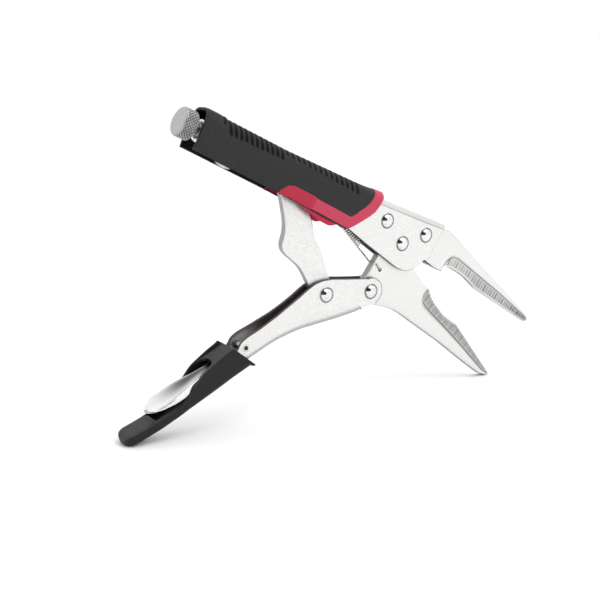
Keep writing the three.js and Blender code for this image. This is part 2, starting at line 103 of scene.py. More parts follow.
lamp = bpy.data.objects.new("soft_lamp", bpy.data.lights.new("soft_lamp", "AREA"))
lamp.data.size = 1.1
lamp.data.energy = 7.0
lamp.location = (0.25, -0.75, 1.25)
lamp.rotation_euler = Vector((0.25, -0.75, 1.2)).to_track_quat("Z", "Y").to_euler()
scene.collection.objects.link(lamp)

AZIMUTH, ELEVATION, ROLL = math.radians(-32.23), math.radians(14.21), math.radians(0.96)
DISTANCE = 0.5223
LOOK_AT = Vector((-0.0242, 0.0, 0.0535))
backwards = Vector((
    math.sin(AZIMUTH) * math.cos(ELEVATION),
    -math.cos(AZIMUTH) * math.cos(ELEVATION),
    math.sin(ELEVATION),
))
camera = bpy.data.objects.new("camera", bpy.data.cameras.new("camera"))
camera.data.sensor_width = 36
camera.data.lens = 68.37
camera.location = LOOK_AT + backwards * DISTANCE
camera.rotation_mode = "QUATERNION"
camera.rotation_quaternion = backwards.to_track_quat("Z", "Y") @ Quaternion((0, 0, 1), ROLL)
scene.collection.objects.link(camera)
scene.camera = camera

# ---- Upper handle --------------------------------------------------------------------------------
# One strip of 1.5 mm steel, blanked and folded over its back into a channel. Its cheeks are pressed
# together at the front to hold both jaws, and it is nickel plated over a fine blasted grain.
hinge_at = {
    j["name"]: j["pos_m"] for j in frame["record"]["behaviour"]["joints"] if "pos_m" in j
}
PIVOT = hinge_at["jaw_hinge"]
UPPER_TILT = -25.8  # degrees, anticlockwise seen from the near side
SHEET = 1.5


def stood(points, pivot, degrees):
    """Points in millimetres in a piece's own frame, turned in the tool's plane and moved to a
    pivot in metres: x' = x cos a - z sin a, z' = x sin a + z cos a."""
    a = math.radians(degrees)
    x, y, z = np.moveaxis(np.asarray(points) * 0.001, -1, 0)
    across = x * math.cos(a) - z * math.sin(a)
    up = x * math.sin(a) + z * math.cos(a)
    return np.stack((across + pivot[0], y + pivot[1], up + pivot[2]), axis=-1)


def table_of(*pairs, blur=0.0):
    """A value read from straight lines through (x, value) pairs, with its corners softened by the
    mean of seven readings spread over plus and minus blur."""
    xs, values = np.array(sorted(pairs)).T
    spread = np.linspace(-blur, blur, 7)
    return lambda x: np.interp(np.asarray(x, float)[..., None] + spread, xs, values).mean(-1)


def ease(x, low, high):
    """0 below low, 1 above high, and 3u^2 - 2u^3 between them."""
    u = np.clip((np.asarray(x, float) - low) / (high - low), 0, 1)
    return u * u * (3 - 2 * u)


def made(name, grid, *paints, ring=False, cap=None, wall=0.0, edge=0.0, keep=None, **marks):
    """A skin over a grid of points in metres: each four neighbours make a face. ring closes it
    round; cap "whole" or "halves" fills both ends by joining each end ring to itself, folded once
    or in two halves; wall thickens it inwards, with the second paint inside and the third on the
    cut edges; edge rounds its hard edges, in millimetres; keep leaves faces out; marks are
    numbers for each point that the finish reads."""
    rows, columns = grid.shape[:2]
    index = np.arange(rows * columns).reshape(rows, columns)
    around = np.hstack((index, index[:, :1])) if ring else index
    quads = np.stack(
        (around[:-1, :-1], around[1:, :-1], around[1:, 1:], around[:-1, 1:]), axis=-1
    )
    faces = [quads[keep] if keep is not None else quads.reshape(-1, 4)]
    if cap:
        part = columns if cap == "whole" else columns // 2
        k = np.arange(part // 2 - 1)
        fold = np.stack((k, k + 1, part - 2 - k, part - 1 - k), axis=-1)
        folds = np.vstack([fold + start for start in range(0, columns, part)])
        faces += [index[0][folds], index[-1][folds[:, ::-1]]]
    mesh = bpy.data.meshes.new(name)
    mesh.from_pydata(grid.reshape(-1, 3).tolist(), [], np.vstack(faces).tolist())
    for mark, values in marks.items():
        layer = mesh.attributes.new(mark, "FLOAT", "POINT")
        layer.data.foreach_set("value", np.broadcast_to(values, grid.shape[:2]).ravel().astype("f"))
    piece = bpy.data.objects.new(name, mesh)
    scene.collection.objects.link(piece)
    welded(mesh)
    for paint in paints:
        mesh.materials.append(paint)
    if wall:
        thick = piece.modifiers.new("wall", "SOLIDIFY")
        thick.thickness = wall * 0.001
        thick.offset = -1
        thick.material_offset = min(1, len(paints) - 1)
        thick.material_offset_rim = len(paints) - 1
    if edge:
        rounded = piece.modifiers.new("edge", "BEVEL")
        rounded.width = edge * 0.001
        rounded.segments = 2
        rounded.limit_method = "ANGLE"
        rounded.angle_limit = math.radians(38)
        rounded.harden_normals = True
    return piece


def welded(mesh):
    """Merges points that lie within a micrometre, which closes seams and poles, drops loose
    points, and shades the faces smoothly."""
    work = bmesh.new()
    work.from_mesh(mesh)
    bmesh.ops.remove_doubles(work, verts=work.verts, dist=1e-6)
    loose = [v for v in work.verts if not v.link_faces]
    bmesh.ops.delete(work, geom=loose, context="VERTS")
    work.to_mesh(mesh)
    work.free()
    mesh.polygons.foreach_set("use_smooth", np.ones(len(mesh.polygons), bool))


def finish(name, light, dark, metal, rough, grain, relief, painted_colour=(0.02, 0.02, 0.02),
           stretch=(1, 1, 1), mark="recess", gloss=0.5):
    """A finish in two close colours mottled at grain per metre, with roughness between two values,
    a bump of relief in millimetres, and one more colour laid over them as far as the piece carries
    the mark: painted shade on most finishes, painted light on the handle insides, a painted
    highlight on the black rubber and a paler tone on the crimson. gloss is how strongly a rubber
    reflects."""
    paint = bpy.data.materials.new(name)
    paint.use_nodes = True
    nodes, links = paint.node_tree.nodes, paint.node_tree.links
    shader = nodes["Principled BSDF"]
    shader.inputs["Metallic"].default_value = metal
    shader.inputs["Specular IOR Level"].default_value = gloss
    place = nodes.new("ShaderNodeTexCoord")
    laid = nodes.new("ShaderNodeMapping")
    laid.inputs["Scale"].default_value = stretch
    links.new(place.outputs["Object"], laid.inputs["Vector"])

    def mottle(scale, detail):
        noise = nodes.new("ShaderNodeTexNoise")
        noise.inputs["Scale"].default_value = scale
        noise.inputs["Detail"].default_value = detail
        links.new(laid.outputs["Vector"], noise.inputs["Vector"])
        return noise.outputs["Fac"]

    def ranged(value, low, high):
        spread = nodes.new("ShaderNodeMapRange")
        spread.inputs["From Min"].default_value = 0.3
        spread.inputs["From Max"].default_value = 0.7
        spread.inputs["To Min"].default_value = low
        spread.inputs["To Max"].default_value = high
        links.new(value, spread.inputs["Value"])
        return spread.outputs["Result"]

    def mixed(factor, a, b):
        mix = nodes.new("ShaderNodeMix")
        mix.data_type = "RGBA"
        links.new(factor, mix.inputs["Factor"])
        for socket, value in (("A", a), ("B", b)):
            if isinstance(value, tuple):
                mix.inputs[socket].default_value = (*value, 1)
            else:
                links.new(value, mix.inputs[socket])
        return mix.outputs["Result"]

    recess = nodes.new("ShaderNodeAttribute")
    recess.attribute_name = mark
    unmarked_colour = mixed(ranged(mottle(grain, 4), 0, 1), light, dark)
    links.new(mixed(recess.outputs["Fac"], unmarked_colour, painted_colour), shader.inputs["Base Color"])
    links.new(ranged(mottle(grain * 0.35, 3), *rough), shader.inputs["Roughness"])
    bump = nodes.new("ShaderNodeBump")
    bump.inputs["Strength"].default_value = 0.6
    bump.inputs["Distance"].default_value = relief * 0.001
    links.new(mottle(grain * 1.7, 2), bump.inputs["Height"])
    links.new(bump.outputs["Normal"], shader.inputs["Normal"])
    return paint


def settled(piece, body, slot, *nodes):
    """A finished piece rides on its body and stands for its CAD nodes. slot is not used."""
    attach(piece, body)
    if nodes:
        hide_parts(*nodes)
    return piece


# How far up a folded sheet's wall its points lie, from 0 to 1, closer together at both ends.
UP_THE_WALL = np.concatenate(((0, 0.02), np.linspace(0.06, 0.94, 12), (0.965, 0.985)))
WALL_STEPS = len(UP_THE_WALL)


def from_edges(count):
    """For each of count columns, how many columns it lies from the nearer edge."""
    column = np.arange(count)
    return np.minimum(column, column[::-1])


def over_the_back(low, top, half, fold, fold_steps=7, back_steps=6):
    """Across a folded sheet, from the near wall's lower edge to the far wall's: up the wall at
    y = -half, round a quarter circle of radius fold, over the back, and the same down again.
    Returns y and z for every station."""
    low, top, half, fold = (np.asarray(v, float)[:, None] for v in (low, top, half, fold))
    u = UP_THE_WALL[None]
    turn = np.linspace(0, math.pi / 2, fold_steps)[None]
    flat = np.linspace(0, 1, back_steps + 2)[None, 1:-1]
    zero = np.zeros_like(low)
    y_wall, z_wall = zero * u - half, low + (top - fold - low) * u
    y_fold, z_fold = -half + fold * (1 - np.cos(turn)), top - fold * (1 - np.sin(turn))
    y_flat, z_flat = (fold - half) * (1 - 2 * flat), top + zero * flat
    y = np.hstack((y_wall, y_fold, y_flat, -y_fold[:, ::-1], -y_wall[:, ::-1]))
    z = np.hstack((z_wall, z_fold, z_flat, z_fold[:, ::-1], z_wall[:, ::-1]))
    return y, z


# Painted shade: where a piece carries the mark, the nickel is painted a dark brown-grey.
satin_nickel = finish(
    "satin_nickel", (0.82, 0.82, 0.81), (0.68, 0.68, 0.67), 0.92, (0.28, 0.44), 1500, 0.03,
    painted_colour=(0.075, 0.062, 0.060),
)
# The insides of the sheets are painted dark brown as painted shade, and pale as painted light where
# the mark lit is set.
handle_inside = finish(
    "handle_inside", (0.17, 0.145, 0.14), (0.10, 0.08, 0.078), 0.8, (0.40, 0.60), 900, 0.03,
    painted_colour=(0.74, 0.69, 0.69), mark="lit",
)
# The sheets' cut edges are painted dark grey, as painted shade along the edges.
cut_edge = finish(
    "cut_edge", (0.30, 0.29, 0.29), (0.20, 0.19, 0.19), 0.9, (0.35, 0.55), 2600, 0.03,
)

handle_s = np.concatenate((
    np.linspace(-114.5, -24, 80), np.linspace(-23.5, 18.7, 100), (18.95, 19.2),
))
handle_top = table_of((-123, 13.1), (-78, 12.9), (-35, 13.9), (-14, 15.2), (24, 17.9), blur=3)
straight_low = table_of(
    (-115, -2.0), (-42, -2.0), (-36, -4.2), (-22.7, -6.9), (0.8, -11.4), (24, -11.4), blur=0.6,
)
nose_curve = 1.2 - np.sqrt(np.clip(169 - (handle_s - 4.6) ** 2, 4, None))
handle_low = np.where(handle_s < 1.6, straight_low(handle_s), np.maximum(nose_curve, -11.6))
NOSE_CUT = 16.6  # ahead of this the round nose gives way to a straight cut up to the front edge
cut_start = nose_curve[handle_s > NOSE_CUT][0]
front_cut = np.interp(handle_s, (NOSE_CUT, 19.2), (cut_start, -2.4))
handle_low = np.where(handle_s > NOSE_CUT, front_cut, handle_low)
handle_half = 3.8 + 1.6 * (1 - ease(handle_s, -60, -14))
handle_y, handle_z = over_the_back(
    handle_low, handle_top(handle_s), handle_half, np.full_like(handle_s, 2.3)
)
# A low tab on the near cheek, under the rear of the grip, which fades out up the wall.
wall_top = WALL_STEPS - 1
near_tab = table_of(
    (-111.5, 0), (-110, -2.4), (-106.5, -3.0), (-103, -2.4), (-101.3, 0), (-100, 0), blur=0.5,
)(handle_s)[:, None]
handle_z[:, :wall_top] += near_tab * (1 - np.arange(wall_top) / wall_top)
handle_lean = np.interp(handle_s, (5, 19.2), (0, 0.133))[:, None]
handle_x = handle_s[:, None] + handle_lean * (handle_z - 6)
# Painted shade: dark lines along both folds, the lower edges and the front edge, and a darker back.
from_edge = from_edges(handle_y.shape[1])
bend_shade = np.select(
    (from_edge == 0, from_edge == wall_top, from_edge > wall_top), (0.85, 0.60, 0.16), 0.0,
)
bend_shade = np.maximum(bend_shade, 0.85 * (handle_s == handle_s[-1])[:, None])
upper_handle = made(
    "upper_handle_sheet",
    stood(np.stack((handle_x, handle_y, handle_z), -1), PIVOT, UPPER_TILT),
    satin_nickel, handle_inside, cut_edge, wall=SHEET, edge=0.3, recess=bend_shade,
)
settled(upper_handle, "upper_handle", "satin_nickel", "upper_handle")

# ---- Threaded collar -----------------------------------------------------------------------------
# The rear of the handle is closed by a swaged steel collar, tapped for the adjusting screw.
SCREW_HEIGHT = 5.5


def spun_long(profile, height, turns=48):
    """A profile of (x, radius) pairs carried round the line z = height along X."""
    x, r = np.array(profile, float).T[..., None]
    angle = math.pi - 2 * math.pi * np.arange(turns) / turns
    return np.stack((x + 0 * angle, r * np.cos(angle), height + r * np.sin(angle)), -1)


bright_steel = finish(
    "bright_steel", (0.78, 0.78, 0.78), (0.66, 0.66, 0.66), 1.0, (0.12, 0.24), 900, 0.006,
)
collar_profile = [
    (-111.9, 3.6), (-120.9, 3.6), (-121.4, 4.1), (-121.5, 4.5), (-121.2, 5.0), (-120.6, 5.25),
    (-117, 5.25), (-111.9, 5.25), (-111.9, 3.6),
]
collar = made(
    "threaded_collar", stood(spun_long(collar_profile, SCREW_HEIGHT), PIVOT, UPPER_TILT),
    bright_steel, ring=True,
)
settled(collar, "upper_handle", "satin_nickel", "upper_handle")

# ---- Jaws ----------------------------------------------------------------------------------------
# Two drop-forged jaws with 4 mm cheeks. A band along each grip edge is milled 0.7 mm thinner and
# cut across with fine grooves; the throat has coarse pipe teeth and the nose a finely cut land.
JAW_HALF = 2.0
BAND_DEPTH = 0.7
COARSE_PITCH, FINE_PITCH = 1.9, 1.1  # of the throat's pipe teeth and the nose's fine ones
CLOSED_TO_OPEN = -19.5  # degrees the moving jaw stands open


def saw(x, pitch):
    """A triangle wave that is 0 at every multiple of pitch and 1 half way between them."""
    return 1 - np.abs(2 * ((x / pitch) % 1) - 1)


def jaw_skin(x, outer, bite, ridge, band, groove_pitch, groove_depth, land, step, dark):
    """A jaw as cross-sections along x, from its outer edge to its bite edge: a rounded outer edge,
    the flat cheek, a step in to the band along the ridge line, grooves across the band that fade
    on the land beside the bite, and the bite edge. Both faces are alike. step is the step's width
    and dark says how much painted shade falls on the step, the tooth gaps and the band. Returns
    the points and the painted shade for each point."""
    outer, bite, ridge, band = (np.asarray(v, float)[:, None] for v in (outer, bite, ridge, band))
    towards_bite = np.sign(bite.mean() - outer.mean())
    height = np.abs(bite - outer)
    e = np.minimum(0.6, 0.22 * height)
    deep = JAW_HALF - BAND_DEPTH * band
    cheek = np.linspace(0, 1, 7)[None]
    strip = np.linspace(0, 1, 11)[None]
    start = outer + towards_bite * e
    stop = bite - towards_bite * np.minimum(1.4, 0.3 * height)
    step = np.broadcast_to(step, x.shape)[:, None]
    ridge = towards_bite * np.minimum(towards_bite * ridge, towards_bite * stop)
    ridge = towards_bite * np.maximum(towards_bite * ridge, towards_bite * start + 0.05)
    low_step = ridge + towards_bite * np.minimum(step, 0.15 * height)
    last = bite - towards_bite * np.minimum(0.3, 0.05 * height)
    z_strip = low_step + (last - low_step) * strip
    from_bite = np.abs(bite - z_strip)
    uneven = 0.68 + 0.32 * np.sin(1.9 * x) * np.sin(0.57 * x + 1)
    off_land = ease(from_bite, land, land + 0.35)
    cut = off_land * ease(strip + 0 * z_strip, 0.02, 0.12) * band
    cut = cut * uneven[:, None]
    wave = saw(x[:, None] + 0.12 * towards_bite * from_bite, groove_pitch)
    y_strip = deep - groove_depth * wave * cut + 0.10 * band * (1 - off_land)
    zero = np.zeros_like(outer)
    y = np.hstack((
        zero, JAW_HALF - e, JAW_HALF - 0.3 * e, JAW_HALF + zero * cheek,
        JAW_HALF - 0.12 * band, (JAW_HALF + deep) / 2, deep + 0.06 * band, y_strip,
        y_strip[:, -1:] - 0.14, y_strip[:, -1:] - 0.36, zero,
    ))
    z = np.hstack((
        outer, outer, outer + towards_bite * 0.3 * e, start + (ridge - start) * cheek,
        ridge + (low_step - ridge) * 0.15, ridge + (low_step - ridge) * 0.5,
        ridge + (low_step - ridge) * 0.9, z_strip, bite - (bite - last) * 0.3, bite, bite,
    ))
    # Painted shade: edge outlines, step lines, groove valleys, tooth gaps, a darker band, a paler
    # land.
    step_shade, gap_shade, band_shade = (np.asarray(v, float)[:, None] for v in dark)
    scoop_wall_shade = 3.6 * band * (1 - band)
    on_step = step_shade * band + scoop_wall_shade
    on_strip = band * (band_shade + 0.10 * strip) + scoop_wall_shade + 0.66 * wave * cut
    shade = np.hstack((
        zero + 0.75, zero + 0.70, zero + 0.40, zero * cheek[:, :-1],
        0.45 * step_shade * band + scoop_wall_shade, on_step, on_step, 0.75 * step_shade * band,
        on_strip - 0.14 * band * (1 - off_land),
        0.20 * band + 0.5 * gap_shade, 0.75 * gap_shade + 0.3, zero + 0.6,
    ))
    if towards_bite < 0:  # the near face must run upwards
        y, z, shade = y[:, ::-1], z[:, ::-1], shade[:, ::-1]
    ring_y = np.hstack((-y, y[:, ::-1]))
    ring_z = np.hstack((z, z[:, ::-1]))
    points = np.stack((x[:, None] + 0 * ring_y, ring_y, ring_z), -1)
    return points, np.hstack((shade, shade[:, ::-1]))


fixed_x = np.concatenate((
    np.linspace(-19.5, -8.6, 8), np.linspace(-8.4, 8.4, 30), np.linspace(8.6, 29.8, 30),
    np.linspace(30, 36, 42), np.arange(36.2, 57, 0.19), np.arange(57.1, 97.4, 0.22),
    np.linspace(97.5, 98.05, 6),
))
fixed_outer = table_of(
    (-19.5, 12.3), (20.6, 14.7), (22.6, 15.6), (25.7, 16.0), (31, 14.9), (37, 12.9),
    (46.5, 9.9), (68.5, 3.4), (94.8, -4.2), (97.6, -5.8), (98.2, -7.2), blur=0.6,
)(fixed_x)
fixed_plain = table_of(
    (-20, 0.6), (-8.4, 0.8), (8.4, -2.0), (18.6, -2.7), (25.3, -3.7), (29.6, -3.8), (30.3, -3.3),
    (31.2, -1.4), (32.6, -0.5), (37, -0.4), (42.5, -0.8), (47, -1.5), (52, -3.0), (57, -4.3),
    (58, -4.4), (97.0, -8.5), (98.2, -7.9), blur=0.35,
)(fixed_x)
recess_arc = np.sqrt(np.clip(8.4 ** 2 - fixed_x ** 2, 0, None))
fixed_bite = np.where(np.abs(fixed_x) < 8.4, np.maximum(recess_arc, fixed_plain), fixed_plain)
coarse = ease(fixed_x, 34, 36) * (1 - ease(fixed_x, 53, 56))
fine = ease(fixed_x, 56, 58) * (1 - ease(fixed_x, 95, 97))
fixed_teeth = 0.55 * coarse * saw(fixed_x, COARSE_PITCH)
fixed_bite = fixed_bite + fixed_teeth + 0.14 * fine * saw(fixed_x, FINE_PITCH)
fixed_ridge = table_of(
    (20, -1.6), (30.3, -2.0), (30.8, -0.6), (31.4, 2.4), (32.8, 4.3), (34.8, 5.5), (37.8, 5.8),
    (43.2, 4.9), (57.3, 2.3), (71.4, -0.2), (96.4, -5.6), (98.4, -6.6), blur=0.3,
)(fixed_x)
fixed_points, fixed_shade = jaw_skin(
    fixed_x, fixed_outer, fixed_bite, fixed_ridge, band=ease(fixed_x, 30.2, 31.4),
    groove_pitch=1.9, groove_depth=0.26, land=0.75,
    step=0.55 + 1.2 * (1 - ease(fixed_x, 32.5, 35.5)),
    # dark: painted shade on the step, fading past the scoop, in the tooth gaps, and on the band.
    dark=(
        0.62 + 0.38 * (1 - ease(fixed_x, 33, 36)),
        0.8 * coarse * (1 - saw(fixed_x, COARSE_PITCH)),
        0.10 + 0.14 * ease(fixed_x, 42, 60) + 0.22 * ease(fixed_x, 78, 92),
    ),
)
fixed_jaw = made(
    "fixed_jaw_forging", stood(fixed_points, PIVOT, UPPER_TILT), satin_nickel,
    ring=True, cap="whole", recess=fixed_shade,
)
settled(fixed_jaw, "upper_handle", "satin_nickel", "fixed_jaw")

moving_x = np.concatenate((
    np.linspace(-7.7, -3.4, 30), np.linspace(-3.3, 7.7, 50), np.linspace(7.9, 30, 40),
    np.linspace(30.05, 32.8, 26), np.arange(33, 59, 0.19), np.arange(59.1, 95, 0.22),
    np.linspace(95.0, 95.5, 4),
))
moving_outer = table_of(
    (-7.7, -1.2), (-3.4, -23.5), (-3.2, -27.5), (-2.5, -30.6), (-0.5, -32.8), (2.9, -33.7),
    (6.3, -32.8), (9.3, -31.1), (12.5, -29.2), (16, -27.2), (21.4, -24.9), (27.2, -23.4),
    (38.4, -21.5), (55.8, -18.4), (79.4, -15.2), (90.4, -13.4), (94.6, -11.4), (95.5, -10.4),
    blur=0.25,
)(moving_x)
moving_plain = table_of(
    (7.8, -3.0), (18, -3.3), (25.4, -4.3), (29.8, -4.2), (31.4, -3.9), (32.8, -4.0), (36, -5.4),
    (40.4, -6.2), (48.8, -6.7), (54, -6.0), (59, -4.9), (60, -5.0), (95.5, -8.9), blur=0.3,
)(moving_x)
lobe = np.sqrt(np.clip(7.8 ** 2 - moving_x ** 2, 0, None))
moving_bite = np.where(moving_x < 7.7, lobe - 0.02, moving_plain)
coarse = ease(moving_x, 31.8, 33) * (1 - ease(moving_x, 57, 59))
fine = ease(moving_x, 58.5, 60) * (1 - ease(moving_x, 93, 95))
moving_teeth = 0.95 * coarse * saw(moving_x, COARSE_PITCH)
moving_bite = moving_bite - moving_teeth - 0.16 * fine * saw(moving_x, FINE_PITCH)
moving_ridge = table_of(
    (20, -5.4), (30.0, -5.2), (30.3, -6.8), (30.8, -8.6), (32.1, -10.3), (33.5, -11.2),
    (35.5, -11.7), (41.3, -11.7), (54.5, -11.2), (68, -11.0), (89.5, -11.3), (95.5, -10.3),
    blur=0.3,
)(moving_x)
moving_points, moving_shade = jaw_skin(
    moving_x, moving_outer, moving_bite, moving_ridge, band=ease(moving_x, 29.9, 30.9),
    groove_pitch=1.1, groove_depth=0.12, land=0.4, step=0.95,
    # dark: painted shade on the step, in the coarse tooth gaps, and on the band.
    dark=(
        np.full_like(moving_x, 0.92), 0.8 * coarse * saw(moving_x, COARSE_PITCH),
        np.full_like(moving_x, 0.30),
    ),
)
moving_jaw = made(
    "moving_jaw_forging", stood(moving_points, PIVOT, UPPER_TILT + CLOSED_TO_OPEN), satin_nickel,
    ring=True, cap="whole", recess=moving_shade,
)
settled(moving_jaw, "moving_jaw", "satin_nickel", "moving_jaw")

# ---- Lower handle --------------------------------------------------------------------------------
# The same sheet steel folded the other way up: a channel, open on top, that flares from the jaw's
# ears to the grip. Behind its short web the ears stand free on both sides of the moving jaw.
JAW_RIVET = hinge_at["handle_hinge"]
LOWER_TILT = 21.1
EAR_R = 6.6
WEB_END = -8.0

lower_s = np.concatenate((
    np.linspace(-88, -30, 60), np.linspace(-29.5, -8.3, 40), np.linspace(WEB_END, -2.6, 16),
    EAR_R * np.sin(np.linspace(math.radians(-20), math.radians(88.2), 34)),
))
lower_top = table_of(
    (-88, 6.4), (-73.8, 9.3), (-72, 11.4), (-68, 12.4), (-61, 12.6), (-50, 13.5), (-43, 14.6),
    (-36.5, 15.8), (-31, 17.1), (-26.5, 17.8), (-22.5, 17.3), (-18, 15.8), (-10.8, 12.1),
    (-4.3, 8.9), (2.1, 5.8), (9, 2.8), blur=1.0,
)(lower_s)
ear_top = np.sqrt(np.clip(EAR_R ** 2 - lower_s ** 2, 0, None))
front_top = np.where(lower_s > 0, ear_top, -9)
lower_top = np.where(lower_s > 4.0, ear_top, np.maximum(lower_top, front_top))
lower_back = table_of(
    (-90, 0.8), (-68, 2.4), (-60, 2.8), (-53, 2.6), (-41, 1.0), (-22.5, -3.5), (-9.6, -6.2),
    (10, -6.2), blur=2.5,
)(lower_s)
web_side = lower_back + 2.4
behind_ear = np.interp(lower_s, (-8.0, -6.9, -5.4, -2.3), (-6.3, -5.25, -5.3, -6.2))
ear_low = np.where(lower_s > -2.3, -ear_top, behind_ear)
drop = ease(lower_s, WEB_END, WEB_END + 0.4)
side_low = web_side * (1 - drop) + ear_low * drop
lower_half = 3.7 + 1.8 * (1 - ease(lower_s, -68, -40))
lower_y, lower_z = over_the_back(-lower_top, -lower_back, lower_half, np.full_like(lower_s, 2.4))
side_z = -lower_top[:, None] + (lower_top - side_low)[:, None] * UP_THE_WALL
lower_z[:, :WALL_STEPS], lower_z[:, -WALL_STEPS:] = side_z, side_z[:, ::-1]
is_ear = lower_s > WEB_END - 0.01
lower_z[is_ear, WALL_STEPS] = -side_low[is_ear]
lower_z[is_ear, -WALL_STEPS - 1] = -side_low[is_ear]
lower_grid = np.stack((lower_s[:, None] + 0 * lower_y, lower_y, -lower_z), -1)[:, ::-1]
lower_keep = np.ones((len(lower_s) - 1, lower_grid.shape[1] - 1), bool)
lower_keep[is_ear[:-1], WALL_STEPS:-WALL_STEPS] = False
# Painted shade: a darker rounded back, and dark outlines round the ears and the walls' edges.
from_edge = from_edges(lower_grid.shape[1])
back_shade = 0.58 * ease(from_edge, 12, 20)
ear_rim_shade = EAR_R - np.hypot(lower_grid[..., 0], lower_grid[..., 2])
ear_rim_shade = 0.85 * (1 - ease(ear_rim_shade, 0.05, 0.6)) * (lower_s > 0)[:, None]
ear_rim_shade = np.maximum(ear_rim_shade, 0.8 * (from_edge == 0))
lower_handle = made(
    "lower_handle_sheet", stood(lower_grid, JAW_RIVET, LOWER_TILT),
    satin_nickel, handle_inside, cut_edge, wall=SHEET, edge=0.3, keep=lower_keep,
    recess=np.maximum(back_shade * (lower_s < WEB_END)[:, None], ear_rim_shade),
    # lit: painted light inside the channel towards the grip, away from its edges.
    lit=(1 - ease(lower_s, -67, -54))[:, None] * ease(from_edge, 0, 5),
)
settled(lower_handle, "lower_handle", "satin_nickel", "lower_handle")

# ---- Toggle link ---------------------------------------------------------------------------------
# A blanked 3.4 mm steel bar between the lower handle and the adjusting screw, with a stop hump at
# its elbow. Its upper end is rounded and bears on the screw's tip inside the upper handle.
LINK_RIVET = hinge_at["link_hinge"]
SEAT = stood([-73.0, 0, SCREW_HEIGHT], PIVOT, UPPER_TILT)
LINK_LENGTH = 1000 * math.hypot(SEAT[0] - LINK_RIVET[0], SEAT[2] - LINK_RIVET[2])
LINK_TURN = math.degrees(math.atan2(SEAT[2] - LINK_RIVET[2], SEAT[0] - LINK_RIVET[0]))
LINK_HALF = 1.7


def through(points, per=8):
    """A closed smooth outline through points: on each stretch the Catmull-Rom cubic
    (2b + (c - a)u + (2a - 5b + 4c - d)u^2 + (3b - a - 3c + d)u^3) / 2."""
    b = np.array(points, float)[:, None]
    a, c, d = np.roll(b, 1, 0), np.roll(b, -1, 0), np.roll(b, -2, 0)
    u = (np.arange(per) / per)[None, :, None]
    cubic = 2 * b + (c - a) * u + (2 * a - 5 * b + 4 * c - d) * u ** 2
    return ((cubic + (3 * b - a - 3 * c + d) * u ** 3) / 2).reshape(-1, 2)


def plate(outline, half, rim):
    """A flat bar from a closed side outline that runs anticlockwise, as rings carried across its
    thickness: in from the middle of the near face to the rim, round a quarter circle of radius
    rim, and out again."""
    after, before = np.roll(outline, -1, 0), np.roll(outline, 1, 0)
    tangent = after - before
    inward = np.stack((-tangent[:, 1], tangent[:, 0]), -1)
    inward /= np.linalg.norm(inward, axis=1)[:, None]
    turn = np.linspace(0, math.pi / 2, 5)
    inset = np.concatenate((rim * (1 - np.sin(turn)), rim * (1 - np.sin(turn))[::-1]))
    y = np.concatenate((rim * (1 - np.cos(turn)) - half, half - rim * (1 - np.cos(turn))[::-1]))
    xz = outline[None] + inward[None] * inset[:, None, None]
    return np.stack((xz[..., 0], np.broadcast_to(y[:, None], xz.shape[:2]), xz[..., 1]), -1)


def plate_piece(name, outline, half, rim, pivot, degrees, paint):
    """plate() as a mesh whose two flat faces are single polygons."""
    (x, z), (next_x, next_z) = outline.T, np.roll(outline, -1, 0).T
    if np.sum(x * next_z - z * next_x) < 0:
        outline = outline[::-1]
    rings = stood(plate(outline, half, rim), pivot, degrees)
    count = rings.shape[1]
    index = np.arange(rings.shape[0] * count).reshape(rings.shape[:2])
    around = np.hstack((index, index[:, :1]))
    sides = np.stack((around[:-1, :-1], around[:-1, 1:], around[1:, 1:], around[1:, :-1]), -1)
    faces = sides.reshape(-1, 4)[:, ::-1].tolist() + [index[0].tolist(), index[-1][::-1].tolist()]
    mesh = bpy.data.meshes.new(name)
    mesh.from_pydata(rings.reshape(-1, 3).tolist(), [], faces)
    piece = bpy.data.objects.new(name, mesh)
    scene.collection.objects.link(piece)
    mesh.polygons.foreach_set("use_smooth", np.arange(len(faces)) < len(faces) - 2)
    mesh.materials.append(paint)
    # Painted shade: the rounded rim is painted darker than the flat faces.
    layer = mesh.attributes.new("recess", "FLOAT", "POINT")
    rim_shade = np.repeat(0.62 * ease(from_edges(rings.shape[0]), 0.5, 3.0), count)
    layer.data.foreach_set("value", rim_shade.astype("f"))
    return piece


end_turn = np.radians(np.linspace(-75, 75, 7))
link_outline = through([
    (-5.6, 0), (-4.0, -3.9), (0, -5.0), (10, -5.0), (20, -4.9), (27, -3.8), (34, -4.9),
    (47, -5.1), *np.stack((LINK_LENGTH + 5.2 * np.cos(end_turn), 5.2 * np.sin(end_turn)), -1),
    (52, 6.4), (42, 8.0), (36.7, 9.9), (32.4, 12.9), (29.0, 13.6), (25.6, 12.4), (22.7, 10.7),
    (17.6, 8.1), (12, 6.9), (6, 6.2), (0, 5.7), (-4.0, 3.9),
])
toggle_link = plate_piece(
    "toggle_link_bar", link_outline, LINK_HALF, 0.5, LINK_RIVET, LINK_TURN, satin_nickel
)
settled(toggle_link, "toggle_link", "satin_nickel", "toggle_link")

# ---- Rivets --------------------------------------------------------------------------------------
# Five steel rivets, set so that a polished dome stands on each cheek with a thin pressed rim
# round it.
NECK = 3.8
DOME = [
    (0.0, 1.46), (0.3, 1.45), (0.6, 1.42), (0.9, 1.365), (1.2, 1.29), (1.5, 1.19), (1.8, 1.07),
    (2.1, 0.92), (2.4, 0.74), (2.7, 0.53), (2.95, 0.33), (3.15, 0.18), (3.34, 0.10), (3.7, 0.09),
    (3.82, 0.02), (3.84, -0.05),
]


def spun_across(profile, x, z, turns=48):
    """A profile of (y, radius) pairs, given from the near side, carried round the line across the
    tool through (x, z)."""
    y, r = np.array(profile, float).T[..., None]
    angle = 2 * math.pi * np.arange(turns) / turns
    return np.stack((x + r * np.cos(angle), y + 0 * angle, z + r * np.sin(angle)), -1)


